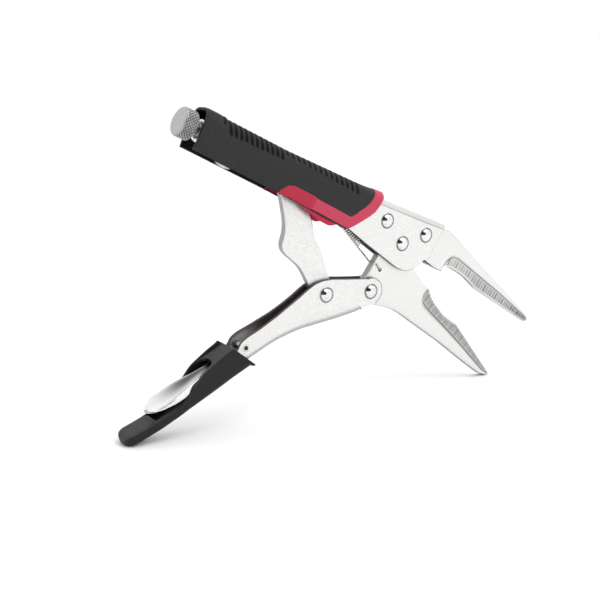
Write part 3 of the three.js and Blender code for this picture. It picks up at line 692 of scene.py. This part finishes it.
polished_steel = finish(
    "polished_steel", (0.82, 0.81, 0.81), (0.70, 0.69, 0.69), 1.0, (0.06, 0.16), 700, 0.004,
    painted_colour=(0.05, 0.035, 0.035),
)
near_head = [(-NECK - h, r) for r, h in DOME]
far_head = [(NECK + h, r) for r, h in DOME][::-1]
rivet_profile = [*near_head, (0.05 - NECK, 2.2), (NECK - 0.05, 2.2), *far_head]
# Painted shade: a dark ring at the foot of each dome, and a darker rim round it.
rivet_rim_shade = np.array([
    0.9 if 3.1 < r < 3.6 else 0.4 if r > 3.6 else 0.25 if r > 2.9 else 0.0
    for _, r in rivet_profile
])[:, None]
for node, body, (x, z), place in (
    ("fixed_jaw_front_rivet", "upper_handle", (11.4, 8.6), (PIVOT, UPPER_TILT)),
    ("fixed_jaw_rear_rivet", "upper_handle", (-13.5, 6.5), (PIVOT, UPPER_TILT)),
    ("pivot_rivet", "upper_handle", (0, 0), (PIVOT, UPPER_TILT)),
    ("jaw_rivet", "lower_handle", (0, 0), (JAW_RIVET, LOWER_TILT)),
    ("link_rivet", "lower_handle", (-23, 10.2), (JAW_RIVET, LOWER_TILT)),
):
    rivet = made(
        f"{node}_pin", stood(spun_across(rivet_profile, x, z), *place), polished_steel,
        ring=True, recess=rivet_rim_shade,
    )
    settled(rivet, body, "rivet_steel", node)

# ---- Upper grip ----------------------------------------------------------------------------------
# A soft dark-grey sleeve moulded over the upper handle, open underneath and at the rear. Two runs
# of finger grooves are cut over its back and a little way down both sides.
GRIP_REAR = -122.8
GRIP_FOLD = 4.6
WALL_SHARE, FOLD_SHARE = 0.55, 0.30  # parts of the way from the lower edge to the mid back
grip_top = table_of((-123, 14.9), (-78, 14.6), (-35, 16.1), (-25, 17.2), (-19, 17.8), blur=3)
grip_low = table_of((-123, -3.6), (-77, -4.3), (-35, -5.8), (-19, -6.4), blur=3)
grip_half = table_of((-123, 6.9), (-60, 7.3), (-35, 7.0), (-19, 6.0), blur=5)


def grip_point(x, t):
    """A point of the sleeve and the direction out of it. t runs from -1 at the near lower edge,
    over the back at 0, to 1 at the far lower edge: a slightly crowned wall, a quarter circle of
    radius GRIP_FOLD, and the back."""
    u = 1 - np.abs(t)
    low, top, half = grip_low(x), grip_top(x), grip_half(x)
    on_wall = np.clip(u / WALL_SHARE, 0, 1)
    turn = np.clip((u - WALL_SHARE) / FOLD_SHARE, 0, 1) * math.pi / 2
    on_back = np.clip((u - WALL_SHARE - FOLD_SHARE) / (1 - WALL_SHARE - FOLD_SHARE), 0, 1)
    crown = 0.35 * np.sin(math.pi * on_wall) * (on_wall < 1) - 0.5 * (1 - on_wall) ** 3
    y = half - GRIP_FOLD * (1 - np.cos(turn)) - (half - GRIP_FOLD) * on_back + crown
    z = low + (top - GRIP_FOLD - low) * on_wall + GRIP_FOLD * np.sin(turn)
    z = z + 0.15 * ease(on_back, 0, 1)
    side = np.where(t < 0, -1.0, 1.0)
    out = np.stack((0 * turn, side * np.cos(turn), np.sin(turn)), -1)
    return np.stack((x + 0 * t, side * y, z), -1), out


def wall_share(x, z):
    """How far up the section, from 0 to 1, a point of the sleeve's side at height z lies."""
    low, top = grip_low(x), grip_top(x)
    wall_top = top - GRIP_FOLD
    lift = np.clip((z - wall_top) / GRIP_FOLD, 0, 1)
    up = WALL_SHARE * np.clip((z - low) / (wall_top - low), 0, 1)
    return up + FOLD_SHARE * np.arcsin(lift) / (math.pi / 2)


# The front edge of the sleeve, as (x, share up the section).
front_x = np.array([-35.0, -32.6, -30.3, -26.6, -23.9, -22.5, -21.9, -21.7, -21.6])
front_z = np.array([-5.8, -3.2, -0.6, 3.6, 7.4, 11.3, 14.6, 17.0, 18.0])
front_share = wall_share(front_x, front_z)
front_share[-2:] = 0.9, 1.0

grip_s = np.concatenate((
    np.linspace(GRIP_REAR, -112, 24), np.arange(-111.7, -37, 0.27), np.linspace(-36.8, -22, 34),
))[:, None]
grip_t = np.concatenate((
    np.linspace(-1, -0.5, 18, endpoint=False), np.linspace(-0.5, 0.5, 41),
    np.linspace(1, 0.5, 18, endpoint=False)[::-1],
))[None]
grip_end = np.interp(1 - np.abs(grip_t), front_share, front_x) - 0.9
squeeze = np.clip((grip_s + 46) / 24, 0, 1)
grip_x = np.where(grip_s > -46, -46 + squeeze * (grip_end + 46), grip_s) + 0 * grip_t
grip_xyz, grip_out = grip_point(grip_x, grip_t + 0 * grip_x)

GROOVE_WIDTH = 1.25
GROOVE_SLANT = 0.42
groove = np.zeros_like(grip_x)
fall = grip_top(grip_x) - grip_xyz[..., 2]
square = grip_x - GROOVE_SLANT * (fall - 3.8)
for first, pitch, count, short, long in ((-113.0, 2.82, 12, 6.4, 5.3), (-78.7, 3.12, 14, 2.6, 5.2)):
    nearest = np.clip(np.round((square - first) / pitch), 0, count - 1)
    off = np.abs(square - first - nearest * pitch)
    reach = short + (long - short) * nearest / (count - 1)
    reach = np.where((nearest == 0) & (count == 12), 3.2, reach)
    across_groove = 1 - ease(off, 0.32 * GROOVE_WIDTH, 0.62 * GROOVE_WIDTH)
    groove = np.maximum(groove, across_groove * (1 - ease(fall, reach - 0.7, reach)))
collar_rise = 0.45 * ease(grip_x, -122.6, -121.6) * (1 - ease(grip_x, -113.2, -111.8))
collar_rise = collar_rise * ease(1 - np.abs(grip_t), 0.66, 0.74)
grip_xyz = grip_xyz + grip_out * (collar_rise - 0.95 * groove)[..., None]

# Painted shade: where the mark is set, as in the finger grooves, the rubber is painted near black.
grey_rubber = finish(
    "grey_rubber", (0.026, 0.026, 0.027), (0.018, 0.018, 0.019), 0.0, (0.50, 0.68), 1500, 0.03,
    painted_colour=(0.001, 0.001, 0.001), gloss=0.25,
)
# The inside of the sleeve is painted black, as painted shade in its hollow.
sleeve_inside = finish(
    "sleeve_inside", (0.004, 0.004, 0.004), (0.002, 0.002, 0.002), 0.0, (0.85, 0.95), 900, 0.03,
    gloss=0.25,
)
upper_grip = made(
    "upper_grip_sleeve", stood(grip_xyz, PIVOT, UPPER_TILT), grey_rubber, sleeve_inside,
    grey_rubber, wall=1.2, recess=np.sqrt(groove),
)
settled(upper_grip, "upper_handle", "grey_rubber", "upper_grip")

# ---- Grip trim -----------------------------------------------------------------------------------
# The second shot of the sleeve, in crimson: a band along the lower edge from mid grip, up the
# front edge and over the back. It stands a little proud, and is paler ahead of a faint step.
inner_x = np.array([
    -77.0, -76.5, -73.9, -70.6, -60, -50, -36.4, -35.0, -33.6, -31.0, -29.0,
    -28.2, -27.9, -27.7, -27.6,
])
inner_z = np.array([-4.2, -2.6, 0.7, 1.9, 1.7, 1.4, 1.0, 2.4, 4.0, 6.9, 10.1, 12.8, 15.0, 17, 18.0])
outer_x = np.array([-76.8, -75.6, -73.4, -70.0, -60, -50, -35.4, *front_x[1:]])
outer_z = np.array([-4.3, -4.3, -4.4, -4.4, -4.8, -5.2, -5.8, *front_z[1:]])
inner_share, outer_share = wall_share(inner_x, inner_z), wall_share(outer_x, outer_z)
inner_share[-2:] = outer_share[-2:] = 0.9, 1.0
step = np.hypot(np.diff(inner_x + outer_x), np.diff(10 * (inner_share + outer_share)))
run = np.concatenate(((0,), np.cumsum(step)))
q = np.unique(np.concatenate((np.linspace(0, run[-1], 150), run)))
r = np.linspace(0, 1, 15)[None]


def ribbon(inner, outer):
    """A value across the band at every step along it, from its inner edge to its outer edge."""
    a, b = np.interp(q, run, inner)[:, None], np.interp(q, run, outer)[:, None]
    half = a + (b - a) * r
    return np.vstack((half, half[-2::-1]))


trim_x, trim_u = ribbon(inner_x, outer_x), ribbon(inner_share, outer_share)
far = np.arange(len(trim_x)) > len(q) - 1
trim_t = np.where(far[:, None], 1 - trim_u, trim_u - 1)
trim_xyz, trim_out = grip_point(trim_x, trim_t)
trim_edge = np.minimum(r, 1 - r) * 2
trim_rise = 0.30 * np.sqrt(np.clip(trim_edge * 3, 0, 1)) - 0.12
trim_rise = trim_rise - 0.12 * ease(trim_x, -58.4, -57.4) * (trim_u < 0.3)
trim_xyz = trim_xyz + trim_out * trim_rise[..., None]
crimson = finish(
    "crimson_rubber", (0.50, 0.018, 0.055), (0.42, 0.012, 0.042), 0.0, (0.40, 0.56), 1300, 0.02,
    painted_colour=(0.58, 0.055, 0.115), gloss=0.3,
)
paler = 0.75 * ease(trim_x, -58.2, -56.6)
grip_trim = made(
    "grip_trim_band", stood(trim_xyz[::-1], PIVOT, UPPER_TILT), crimson, wall=1.5,
    recess=paler[::-1],
)
settled(grip_trim, "upper_handle", "red_rubber", "grip_trim")

# ---- Finger lip ----------------------------------------------------------------------------------
# Part of the same crimson shot: a low lip under each side, just behind the fold of the trim, that
# keeps the fingers off the steel.
lip_x = np.linspace(-63, -41.2, 56)[:, None]
lip_drop = 0.05 + table_of(
    (-63, 0), (-60, 0.5), (-57, 1.2), (-54, 1.75), (-49.4, 2.15), (-45, 2.1), (-43, 1.2),
    (-41.4, 0), blur=0.5,
)(lip_x[:, 0])[:, None]
lip_turn = np.linspace(0, 2 * math.pi, 20, endpoint=False)[None]
lip_z = grip_low(lip_x) + 0.5 - (0.5 + lip_drop) * (0.5 + 0.5 * np.cos(lip_turn)) + 0 * lip_x
for side, name in ((-1, "finger_lip_near"), (1, "finger_lip_far")):
    lip_y = side * (grip_half(lip_x) - 1.35) - 0.75 * np.sin(lip_turn)
    lip = made(
        name, stood(np.stack((lip_x + 0 * lip_y, lip_y, lip_z), -1), PIVOT, UPPER_TILT), crimson,
        ring=True, cap="whole",
    )
    settled(lip, "upper_handle", "red_rubber", "grip_trim")

# ---- Lower grip ----------------------------------------------------------------------------------
# A black moulded sleeve on the lower handle. Its front closes over the handle as a bridge, its
# sides sweep down in an S on both sides of the release lever, and its end is a solid rounded pad.
PAD_START, GRIP_TIP = -132.2, -137.2
MOULD_WALL = 1.5
low_s = np.concatenate((
    GRIP_TIP + 5.0 * (1 - np.cos(np.linspace(0, math.pi / 2, 22))), np.linspace(-132.0, -69.3, 196),
))
mould_edge = table_of(
    (-140, -0.8), (-124, -0.9), (-117.3, -0.5), (-110.3, -0.4), (-106, 0.9), (-102.2, 3.3),
    (-97.2, 6.5), (-93.4, 8.5), (-90, 9.3), (-85, 10.1), (-75.5, 11.4), (-66, 12.7), blur=1.4,
)
mould_top = mould_edge(low_s)
mould_low = table_of(
    (-140, -5.6), (-134, -5.8), (-128.5, -5.9), (-119, -5.6), (-114.5, -5.0), (-101.6, -3.5),
    (-80.8, -1.0), (-66, 0.3), blur=2,
)(low_s)
past_pad = np.clip((PAD_START - low_s) / (PAD_START - GRIP_TIP), 0, 1)
mould_wide = table_of(
    (-140, 6.2), (-125, 6.2), (-110, 6.7), (-95, 7.3), (-85, 7.4), (-66, 7.5), blur=3,
)
mould_half = mould_wide(low_s) * np.sqrt(1 - past_pad ** 2)
end_round = (1 - past_pad ** 4) ** 0.5
middle = -3.2
mould_top = middle + (mould_top - middle) * end_round
mould_low = middle + (mould_low - middle) * end_round
flare = 1.2 * ease(low_s, -71.4, -70.2)
floor_depth = ease(low_s, -121.5, -117.5)
mould_floor = mould_top + floor_depth * (mould_low + 1.6 - mould_top)


def half_mould(half, top, low, floor, flare):
    """Half of the moulding's section as two runs of equal length: outside, from the middle of the
    underside round a corner of radius 2.4 and up the side to the top edge, and inside, from the
    middle of the floor out and up to the same edge."""
    half, top, low, floor, flare = (v[:, None] for v in (half, top, low, floor, flare))
    k = np.minimum(2.4, 0.45 * np.minimum(half, top - low))
    turn = np.linspace(0, math.pi / 2, 7)[None]
    up = np.linspace(0, 1, 9)[None, 1:]
    lip = np.minimum(0.55, 0.3 * half)
    wide = half + 0.38 * flare
    out_y = np.hstack((
        0 * half, 0.5 * (wide - k), wide - k * (1 - np.sin(turn)), wide + 0 * up,
        wide - 0.3 * lip, wide - lip,
    ))
    out_z = np.hstack((
        low - flare, low - flare, low - flare + k * (1 - np.cos(turn)),
        low + k + (top - 0.9 * lip - low - k) * up, top - 0.25 * lip, top + 0 * half,
    ))
    inner = np.maximum(half - MOULD_WALL, 0.35 * half)
    count = out_y.shape[1]
    across = np.linspace(0, 1, 5)[None]
    rise = np.linspace(0, 1, count - 5)[None]
    in_y = np.hstack((inner * across, inner + 0 * rise))
    in_z = np.hstack((floor + 0 * across, floor + (top - floor) * rise))
    return out_y, out_z, in_y, in_z


out_y, out_z, in_y, in_z = half_mould(mould_half, mould_top, mould_low, mould_floor, flare)
near_y = np.hstack((-out_y, -in_y[:, ::-1]))
near_z = np.hstack((out_z, in_z[:, ::-1]))
mould_y = np.hstack((near_y, -near_y[:, ::-1]))
mould_z = np.hstack((near_z, near_z[:, ::-1]))
mould_lean = -0.58 * ease(low_s, -96, -72)[:, None]
mould_x = low_s[:, None] + mould_lean * (mould_z + 0.5)
# Painted highlight: a lighter grey line along both top edges of the moulding.
top_edge_highlight = np.zeros(mould_y.shape[1])
top_edge_highlight[[17, -18]] = 1
black_rubber = finish(
    "black_rubber", (0.010, 0.010, 0.011), (0.006, 0.006, 0.007), 0.0, (0.34, 0.50), 1700, 0.025,
    painted_colour=(0.075, 0.075, 0.078), gloss=0.28,
)
lower_grip = made(
    "lower_grip_moulding",
    stood(np.stack((mould_x, mould_y, mould_z), -1), JAW_RIVET, LOWER_TILT),
    black_rubber, ring=True, cap="halves", recess=0.6 * top_edge_highlight,
)
settled(lower_grip, "lower_handle", "black_rubber", "lower_grip")

bridge_v = np.linspace(-1, 1, 25)[None]
bridge_s = np.linspace(0, 1, 26)[:, None]
bridge_back = -86.3 - 7.0 * np.abs(bridge_v) ** 3
bridge_x = bridge_back + (-75.9 - bridge_back) * bridge_s
bridge_y = (mould_wide(bridge_x) - 0.35) * bridge_v
bridge_zt = mould_edge(bridge_x) + 0.05
bridge_under = bridge_zt - 1.1 - 0.3 * (1 - bridge_v ** 2) * (1 - bridge_s)
bridge_x_full = np.hstack((bridge_x, bridge_x[:, ::-1]))
bridge_y_full = np.hstack((bridge_y, bridge_y[:, ::-1] * 0.97))
bridge_z_full = np.hstack((bridge_zt, bridge_under[:, ::-1]))
bridge = made(
    "lower_grip_bridge",
    stood(np.stack((bridge_x_full, bridge_y_full, bridge_z_full), -1), JAW_RIVET, LOWER_TILT),
    black_rubber, ring=True, cap="whole", edge=0.25,
)
settled(bridge, "lower_handle", "black_rubber", "lower_grip")

# ---- Release lever -------------------------------------------------------------------------------
# A steel pressing on a cross pin in the lower handle. It comes out under the bridge as a narrow
# stem and widens into a dished paddle with turned-down sides, polished and nickel plated.
lever_s = np.concatenate((
    -121.8 + 7.0 * (1 - np.cos(np.linspace(0.02, math.pi / 2, 26))), np.linspace(-114.5, -54, 90),
))
lever_mid = table_of(
    (-122, 3.7), (-117, 4.2), (-110, 4.9), (-104, 5.7), (-98, 6.2), (-90, 6.9), (-84, 7.3),
    (-78, 7.6), (-70.3, 8.0), (-62, 7.2), (-54, 6.4), blur=2.5,
)(lever_s)[:, None]
lever_half = table_of(
    (-114.8, 6.7), (-110, 6.9), (-105, 6.5), (-101, 5.7), (-97, 4.6), (-92, 3.4), (-88, 2.8),
    (-84, 2.6), (-78, 2.9), (-73, 4.0), (-66, 4.0), (-60, 3.0), (-50, 2.6), blur=1.5,
)(lever_s)
tip = np.clip((-114.8 - lever_s) / 7.0, 0, 1)
lever_half = (lever_half * np.sqrt(1 - tip ** 2))[:, None]
lever_skirt = table_of(
    (-122, 0.3), (-118, 0.8), (-112, 1.9), (-105, 2.9), (-99, 3.1), (-90, 2.8), (-84, 2.6),
    (-76, 3.4), (-66, 3.4), (-54, 1.8), blur=2,
)(lever_s)[:, None]
lever_dish = (0.35 + 0.85 * (1 - ease(lever_s, -106, -92)) * ease(lever_s, -121, -115))[:, None]
v = np.linspace(-1, 1, 41)[None]
flat_part = np.clip(np.abs(v) / 0.70, 0, 1)
skirt_part = np.clip((np.abs(v) - 0.70) / 0.30, 0, 1)
round_over = ease(skirt_part, 0, 0.45)
lever_y = np.sign(v) * (lever_half * flat_part + 0.25 * round_over)
lever_z = lever_mid - lever_dish * (1 - flat_part ** 2) - lever_skirt * skirt_part ** 1.35
# Painted shade: the dish darkens towards the stem and over its far half, but not on its sides.
lever_shade = (0.74 * ease(lever_s, -118, -99)[:, None] + 0.10) * (1 - flat_part ** 10)
lever_shade = lever_shade * (0.22 + 0.85 * ease(v, -0.6, 0.35))
bright_nickel = finish(
    "bright_nickel", (0.84, 0.84, 0.84), (0.74, 0.74, 0.74), 1.0, (0.14, 0.30), 1600, 0.010,
    stretch=(1, 6, 1),
)
lever = made(
    "release_lever_pressing",
    stood(np.stack((lever_s[:, None] + 0 * lever_y, lever_y, lever_z), -1), JAW_RIVET, LOWER_TILT),
    bright_nickel, wall=0.9, recess=lever_shade,
)
settled(lever, "release_lever", "bright_nickel", "release_lever")

# The lever turns on a rolled spring pin, whose split hollow end shows flush in the handle's side.
LEVER_PIN = (-70.3, 8.3)
LOWER_WIDE = 5.5
pin_end = [
    (0.0, -0.55), (0.85, -0.5), (1.0, 0.02), (1.12, 0.12), (1.5, 0.12), (1.7, 0.0), (1.74, -0.1),
]
pin_profile = [(-LOWER_WIDE - h - 0.02, r) for r, h in pin_end]
pin_profile += [(LOWER_WIDE + h + 0.02, r) for r, h in pin_end][::-1]
pin_profile = [(math.copysign(max(abs(y), LOWER_WIDE + 0.03), y), r) for y, r in pin_profile]
# Painted shade: the pin's hollow end is painted black and its outer rim dark.
pin_shade = np.array([
    1.0 if r < 1.01 else 0.1 if r < 1.6 else 0.6 for _, r in pin_profile
])[:, None]
lever_pin = made(
    "lever_roll_pin", stood(spun_across(pin_profile, *LEVER_PIN, 32), JAW_RIVET, LOWER_TILT),
    polished_steel, ring=True, recess=pin_shade,
)
settled(lever_pin, "lower_handle", "rivet_steel", "lever_pin")

# ---- Return spring -------------------------------------------------------------------------------
# Close-wound spring wire: a coil on a pin inside the upper handle, then a straight tail that runs
# behind the moving jaw and hooks back through its hole. It pulls the jaws open.
ANCHOR_LOCAL = (-56.0, 0.0, 5.8)
HOLE_LOCAL = (0.4, 0.0, -16.5)
anchor = stood(ANCHOR_LOCAL, PIVOT, UPPER_TILT)
hook_hole = stood(HOLE_LOCAL, PIVOT, UPPER_TILT + CLOSED_TO_OPEN)
SPRING_LENGTH = 1000 * math.hypot(hook_hole[0] - anchor[0], hook_hole[2] - anchor[2])
SPRING_TURN = math.degrees(math.atan2(hook_hole[2] - anchor[2], hook_hole[0] - anchor[0]))
WIRE = 0.42
COIL_MEAN = 1.85
COIL_LIFT = 0.6
TURN_PITCH = 1.30


def wire_along(path, lead, radius, sides=8):
    """A round wire along a path of points: at each one a circle of radius in the plane across the
    path, whose first direction is square to both the path and lead."""
    forward = np.gradient(path, axis=0)
    forward /= np.linalg.norm(forward, axis=1)[:, None]
    first = np.cross(forward, lead)
    first /= np.linalg.norm(first, axis=1)[:, None]
    second = np.cross(first, forward)
    angle = 2 * math.pi * np.arange(sides) / sides
    circle = first[:, None] * np.cos(angle)[:, None] + second[:, None] * np.sin(angle)[:, None]
    return path[:, None] + radius * circle


coil_start, coil_end = 2.6, 0.68 * SPRING_LENGTH
coil_turns = (coil_end - coil_start) / TURN_PITCH
wind = np.linspace(0, 2 * math.pi * coil_turns, int(coil_turns * 20))
coil_path = np.stack((
    coil_start + wind / (2 * math.pi) * TURN_PITCH, COIL_MEAN * np.cos(wind),
    COIL_LIFT * ease(wind, 0, 40) + COIL_MEAN * np.sin(wind),
), -1)
spring_steel = finish(
    "spring_steel", (0.66, 0.65, 0.64), (0.48, 0.47, 0.46), 1.0, (0.20, 0.34), 1200, 0.008,
)
behind = JAW_HALF + WIRE + 0.3
tail_points = np.array([
    (coil_end - 0.5, -1.0, COIL_LIFT - 1.6), (coil_end + 0.3, 0.0, COIL_LIFT - COIL_MEAN),
    (SPRING_LENGTH - 9, behind, 0), (SPRING_LENGTH - 2, behind, 0),
    (SPRING_LENGTH - 0.5, behind - 0.5, 0), (SPRING_LENGTH, 0.8, 0), (SPRING_LENGTH, -1.6, 0),
    (SPRING_LENGTH - 0.6, -behind + 0.1, 0), (SPRING_LENGTH - 2.2, -behind, 0.2),
    (SPRING_LENGTH - 4.0, -behind + 0.1, 0.4),
])
where = np.concatenate(((0,), np.cumsum(np.linalg.norm(np.diff(tail_points, axis=0), axis=1))))
along_tail = np.linspace(0, where[-1], 220)
tail_path = np.stack([
    table_of(*zip(where, tail_points[:, i]), blur=0.55)(along_tail) for i in range(3)
], -1)
for name, path, lead in (
    ("spring_coil", coil_path, (1, 0, 0)),
    ("spring_tail", tail_path, (0, 0, 1)),
):
    spring = made(
        name, stood(wire_along(path, lead, WIRE), anchor, SPRING_TURN), spring_steel,
        ring=True, cap="whole",
    )
    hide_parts("tension_spring")
    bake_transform(spring)

# The coil's eye is held by a small steel pin across the handle, flush with both of its sides.
anchor_profile = [(-5.35, 0.0), (-5.35, 0.85), (-5.2, 1.0), (5.2, 1.0), (5.35, 0.85), (5.35, 0.0)]
anchor_pin = made(
    "spring_anchor_cross_pin",
    stood(spun_across(anchor_profile, ANCHOR_LOCAL[0], ANCHOR_LOCAL[2], 24), PIVOT, UPPER_TILT),
    polished_steel, ring=True,
)
settled(anchor_pin, "upper_handle", "rivet_steel", "spring_anchor_pin")

# The hole that the hook passes through, bored through the moving jaw.
hole_rim = [
    (-JAW_HALF - 0.012, 0.0), (-JAW_HALF - 0.012, 0.85), (-JAW_HALF - 0.03, 1.05),
    (-JAW_HALF + 0.1, 1.2),
]
hole_rim += [(-y, r) for y, r in hole_rim][::-1]
# Painted shade: the inside of the bore is painted almost black and its rim dark.
hook_bore = made(
    "spring_hook_bore",
    stood(
        spun_across(hole_rim, HOLE_LOCAL[0], HOLE_LOCAL[2], 32), PIVOT, UPPER_TILT + CLOSED_TO_OPEN,
    ),
    satin_nickel, ring=True,
    recess=np.array([0.96 if r < 1.0 else 0.45 for _, r in hole_rim])[:, None],
)
settled(hook_bore, "moving_jaw", "satin_nickel")

# ---- Adjusting screw -----------------------------------------------------------------------------
# A rolled quarter-inch thread of 1.27 mm pitch from the knob to the toggle link's seat, plated
# with zinc.
THREAD_PITCH = 1.27
THREAD_R = 3.2
screw_x = np.linspace(-124.2, -79.4, 300)[:, None]
screw_angle = (math.pi - 2 * math.pi * np.arange(40) / 40)[None]
thread = saw(screw_x - THREAD_PITCH * screw_angle / (2 * math.pi), THREAD_PITCH)
thread_depth = 0.62 * thread * ease(screw_x, -124.2, -122.9) * (1 - ease(screw_x, -81, -79.6))
screw_r = (THREAD_R - thread_depth) * np.where((screw_x < -124.19) | (screw_x > -79.41), 0, 1)
screw_grid = np.stack((
    screw_x + 0 * screw_angle, screw_r * np.cos(screw_angle),
    SCREW_HEIGHT + screw_r * np.sin(screw_angle),
), -1)
zinc_plate = finish(
    "zinc_plate", (0.46, 0.46, 0.455), (0.34, 0.34, 0.335), 0.95, (0.30, 0.46), 1700, 0.02,
    painted_colour=(0.012, 0.012, 0.012),
)
# Painted shade: the thread's valleys are painted darker.
screw = made(
    "adjusting_screw_thread", stood(screw_grid, PIVOT, UPPER_TILT), zinc_plate, ring=True,
    recess=0.5 * thread * ease(screw_x, -124.2, -122.9),
)
settled(screw, "adjusting_screw", "zinc_plate", "adjusting_screw")

# The knob is turned in one with the screw: a flat end, two chamfers, and a diamond knurl between
# them made by two crossed sets of helical cuts.
KNOB_R = 6.55
KNURL_DEPTH = 0.42
knob_x = np.concatenate(((-131.0,) * 4, np.linspace(-130.95, -124.5, 64), (-124.4,) * 4))[:, None]
knob_angle = (math.pi - 2 * math.pi * np.arange(216) / 216)[None]
knob_r = np.interp(
    knob_x[:, 0], (-131, -130.9, -130.2, -125.1, -124.5, -124.4),
    (5.75, 5.95, KNOB_R, KNOB_R, 5.95, 5.8),
)
knob_r[:4], knob_r[-4:] = (0, 2.0, 4.2, 5.6), (5.6, 4.2, 3.2, 0)
turns_over = 27 * knob_angle / (2 * math.pi)
lead_along = (knob_x + 131) / 1.45
cut = np.maximum(
    1 - 2.1 * saw(turns_over + lead_along, 1), 1 - 2.1 * saw(turns_over - lead_along, 1),
)
knurled = ease(knob_x, -130.4, -130.0) * (1 - ease(knob_x, -125.4, -125.0))
knob_cut = np.clip(cut, 0, 1) * knurled
knob_rr = knob_r[:, None] - KNURL_DEPTH * knob_cut
knob_dish = 0.12 * ease(knob_r, 5.2, 4.2) * (np.arange(len(knob_r)) < 4)
knob_grid = np.stack((
    knob_x + knob_dish[:, None] + 0 * knob_angle, knob_rr * np.cos(knob_angle),
    SCREW_HEIGHT + knob_rr * np.sin(knob_angle),
), -1)
# Painted shade: the knurl's cuts are painted almost black.
knob = made(
    "screw_knob_knurled", stood(knob_grid, PIVOT, UPPER_TILT), zinc_plate, ring=True,
    recess=0.95 * knob_cut,
)
settled(knob, "screw_knob", "zinc_plate", "screw_knob")
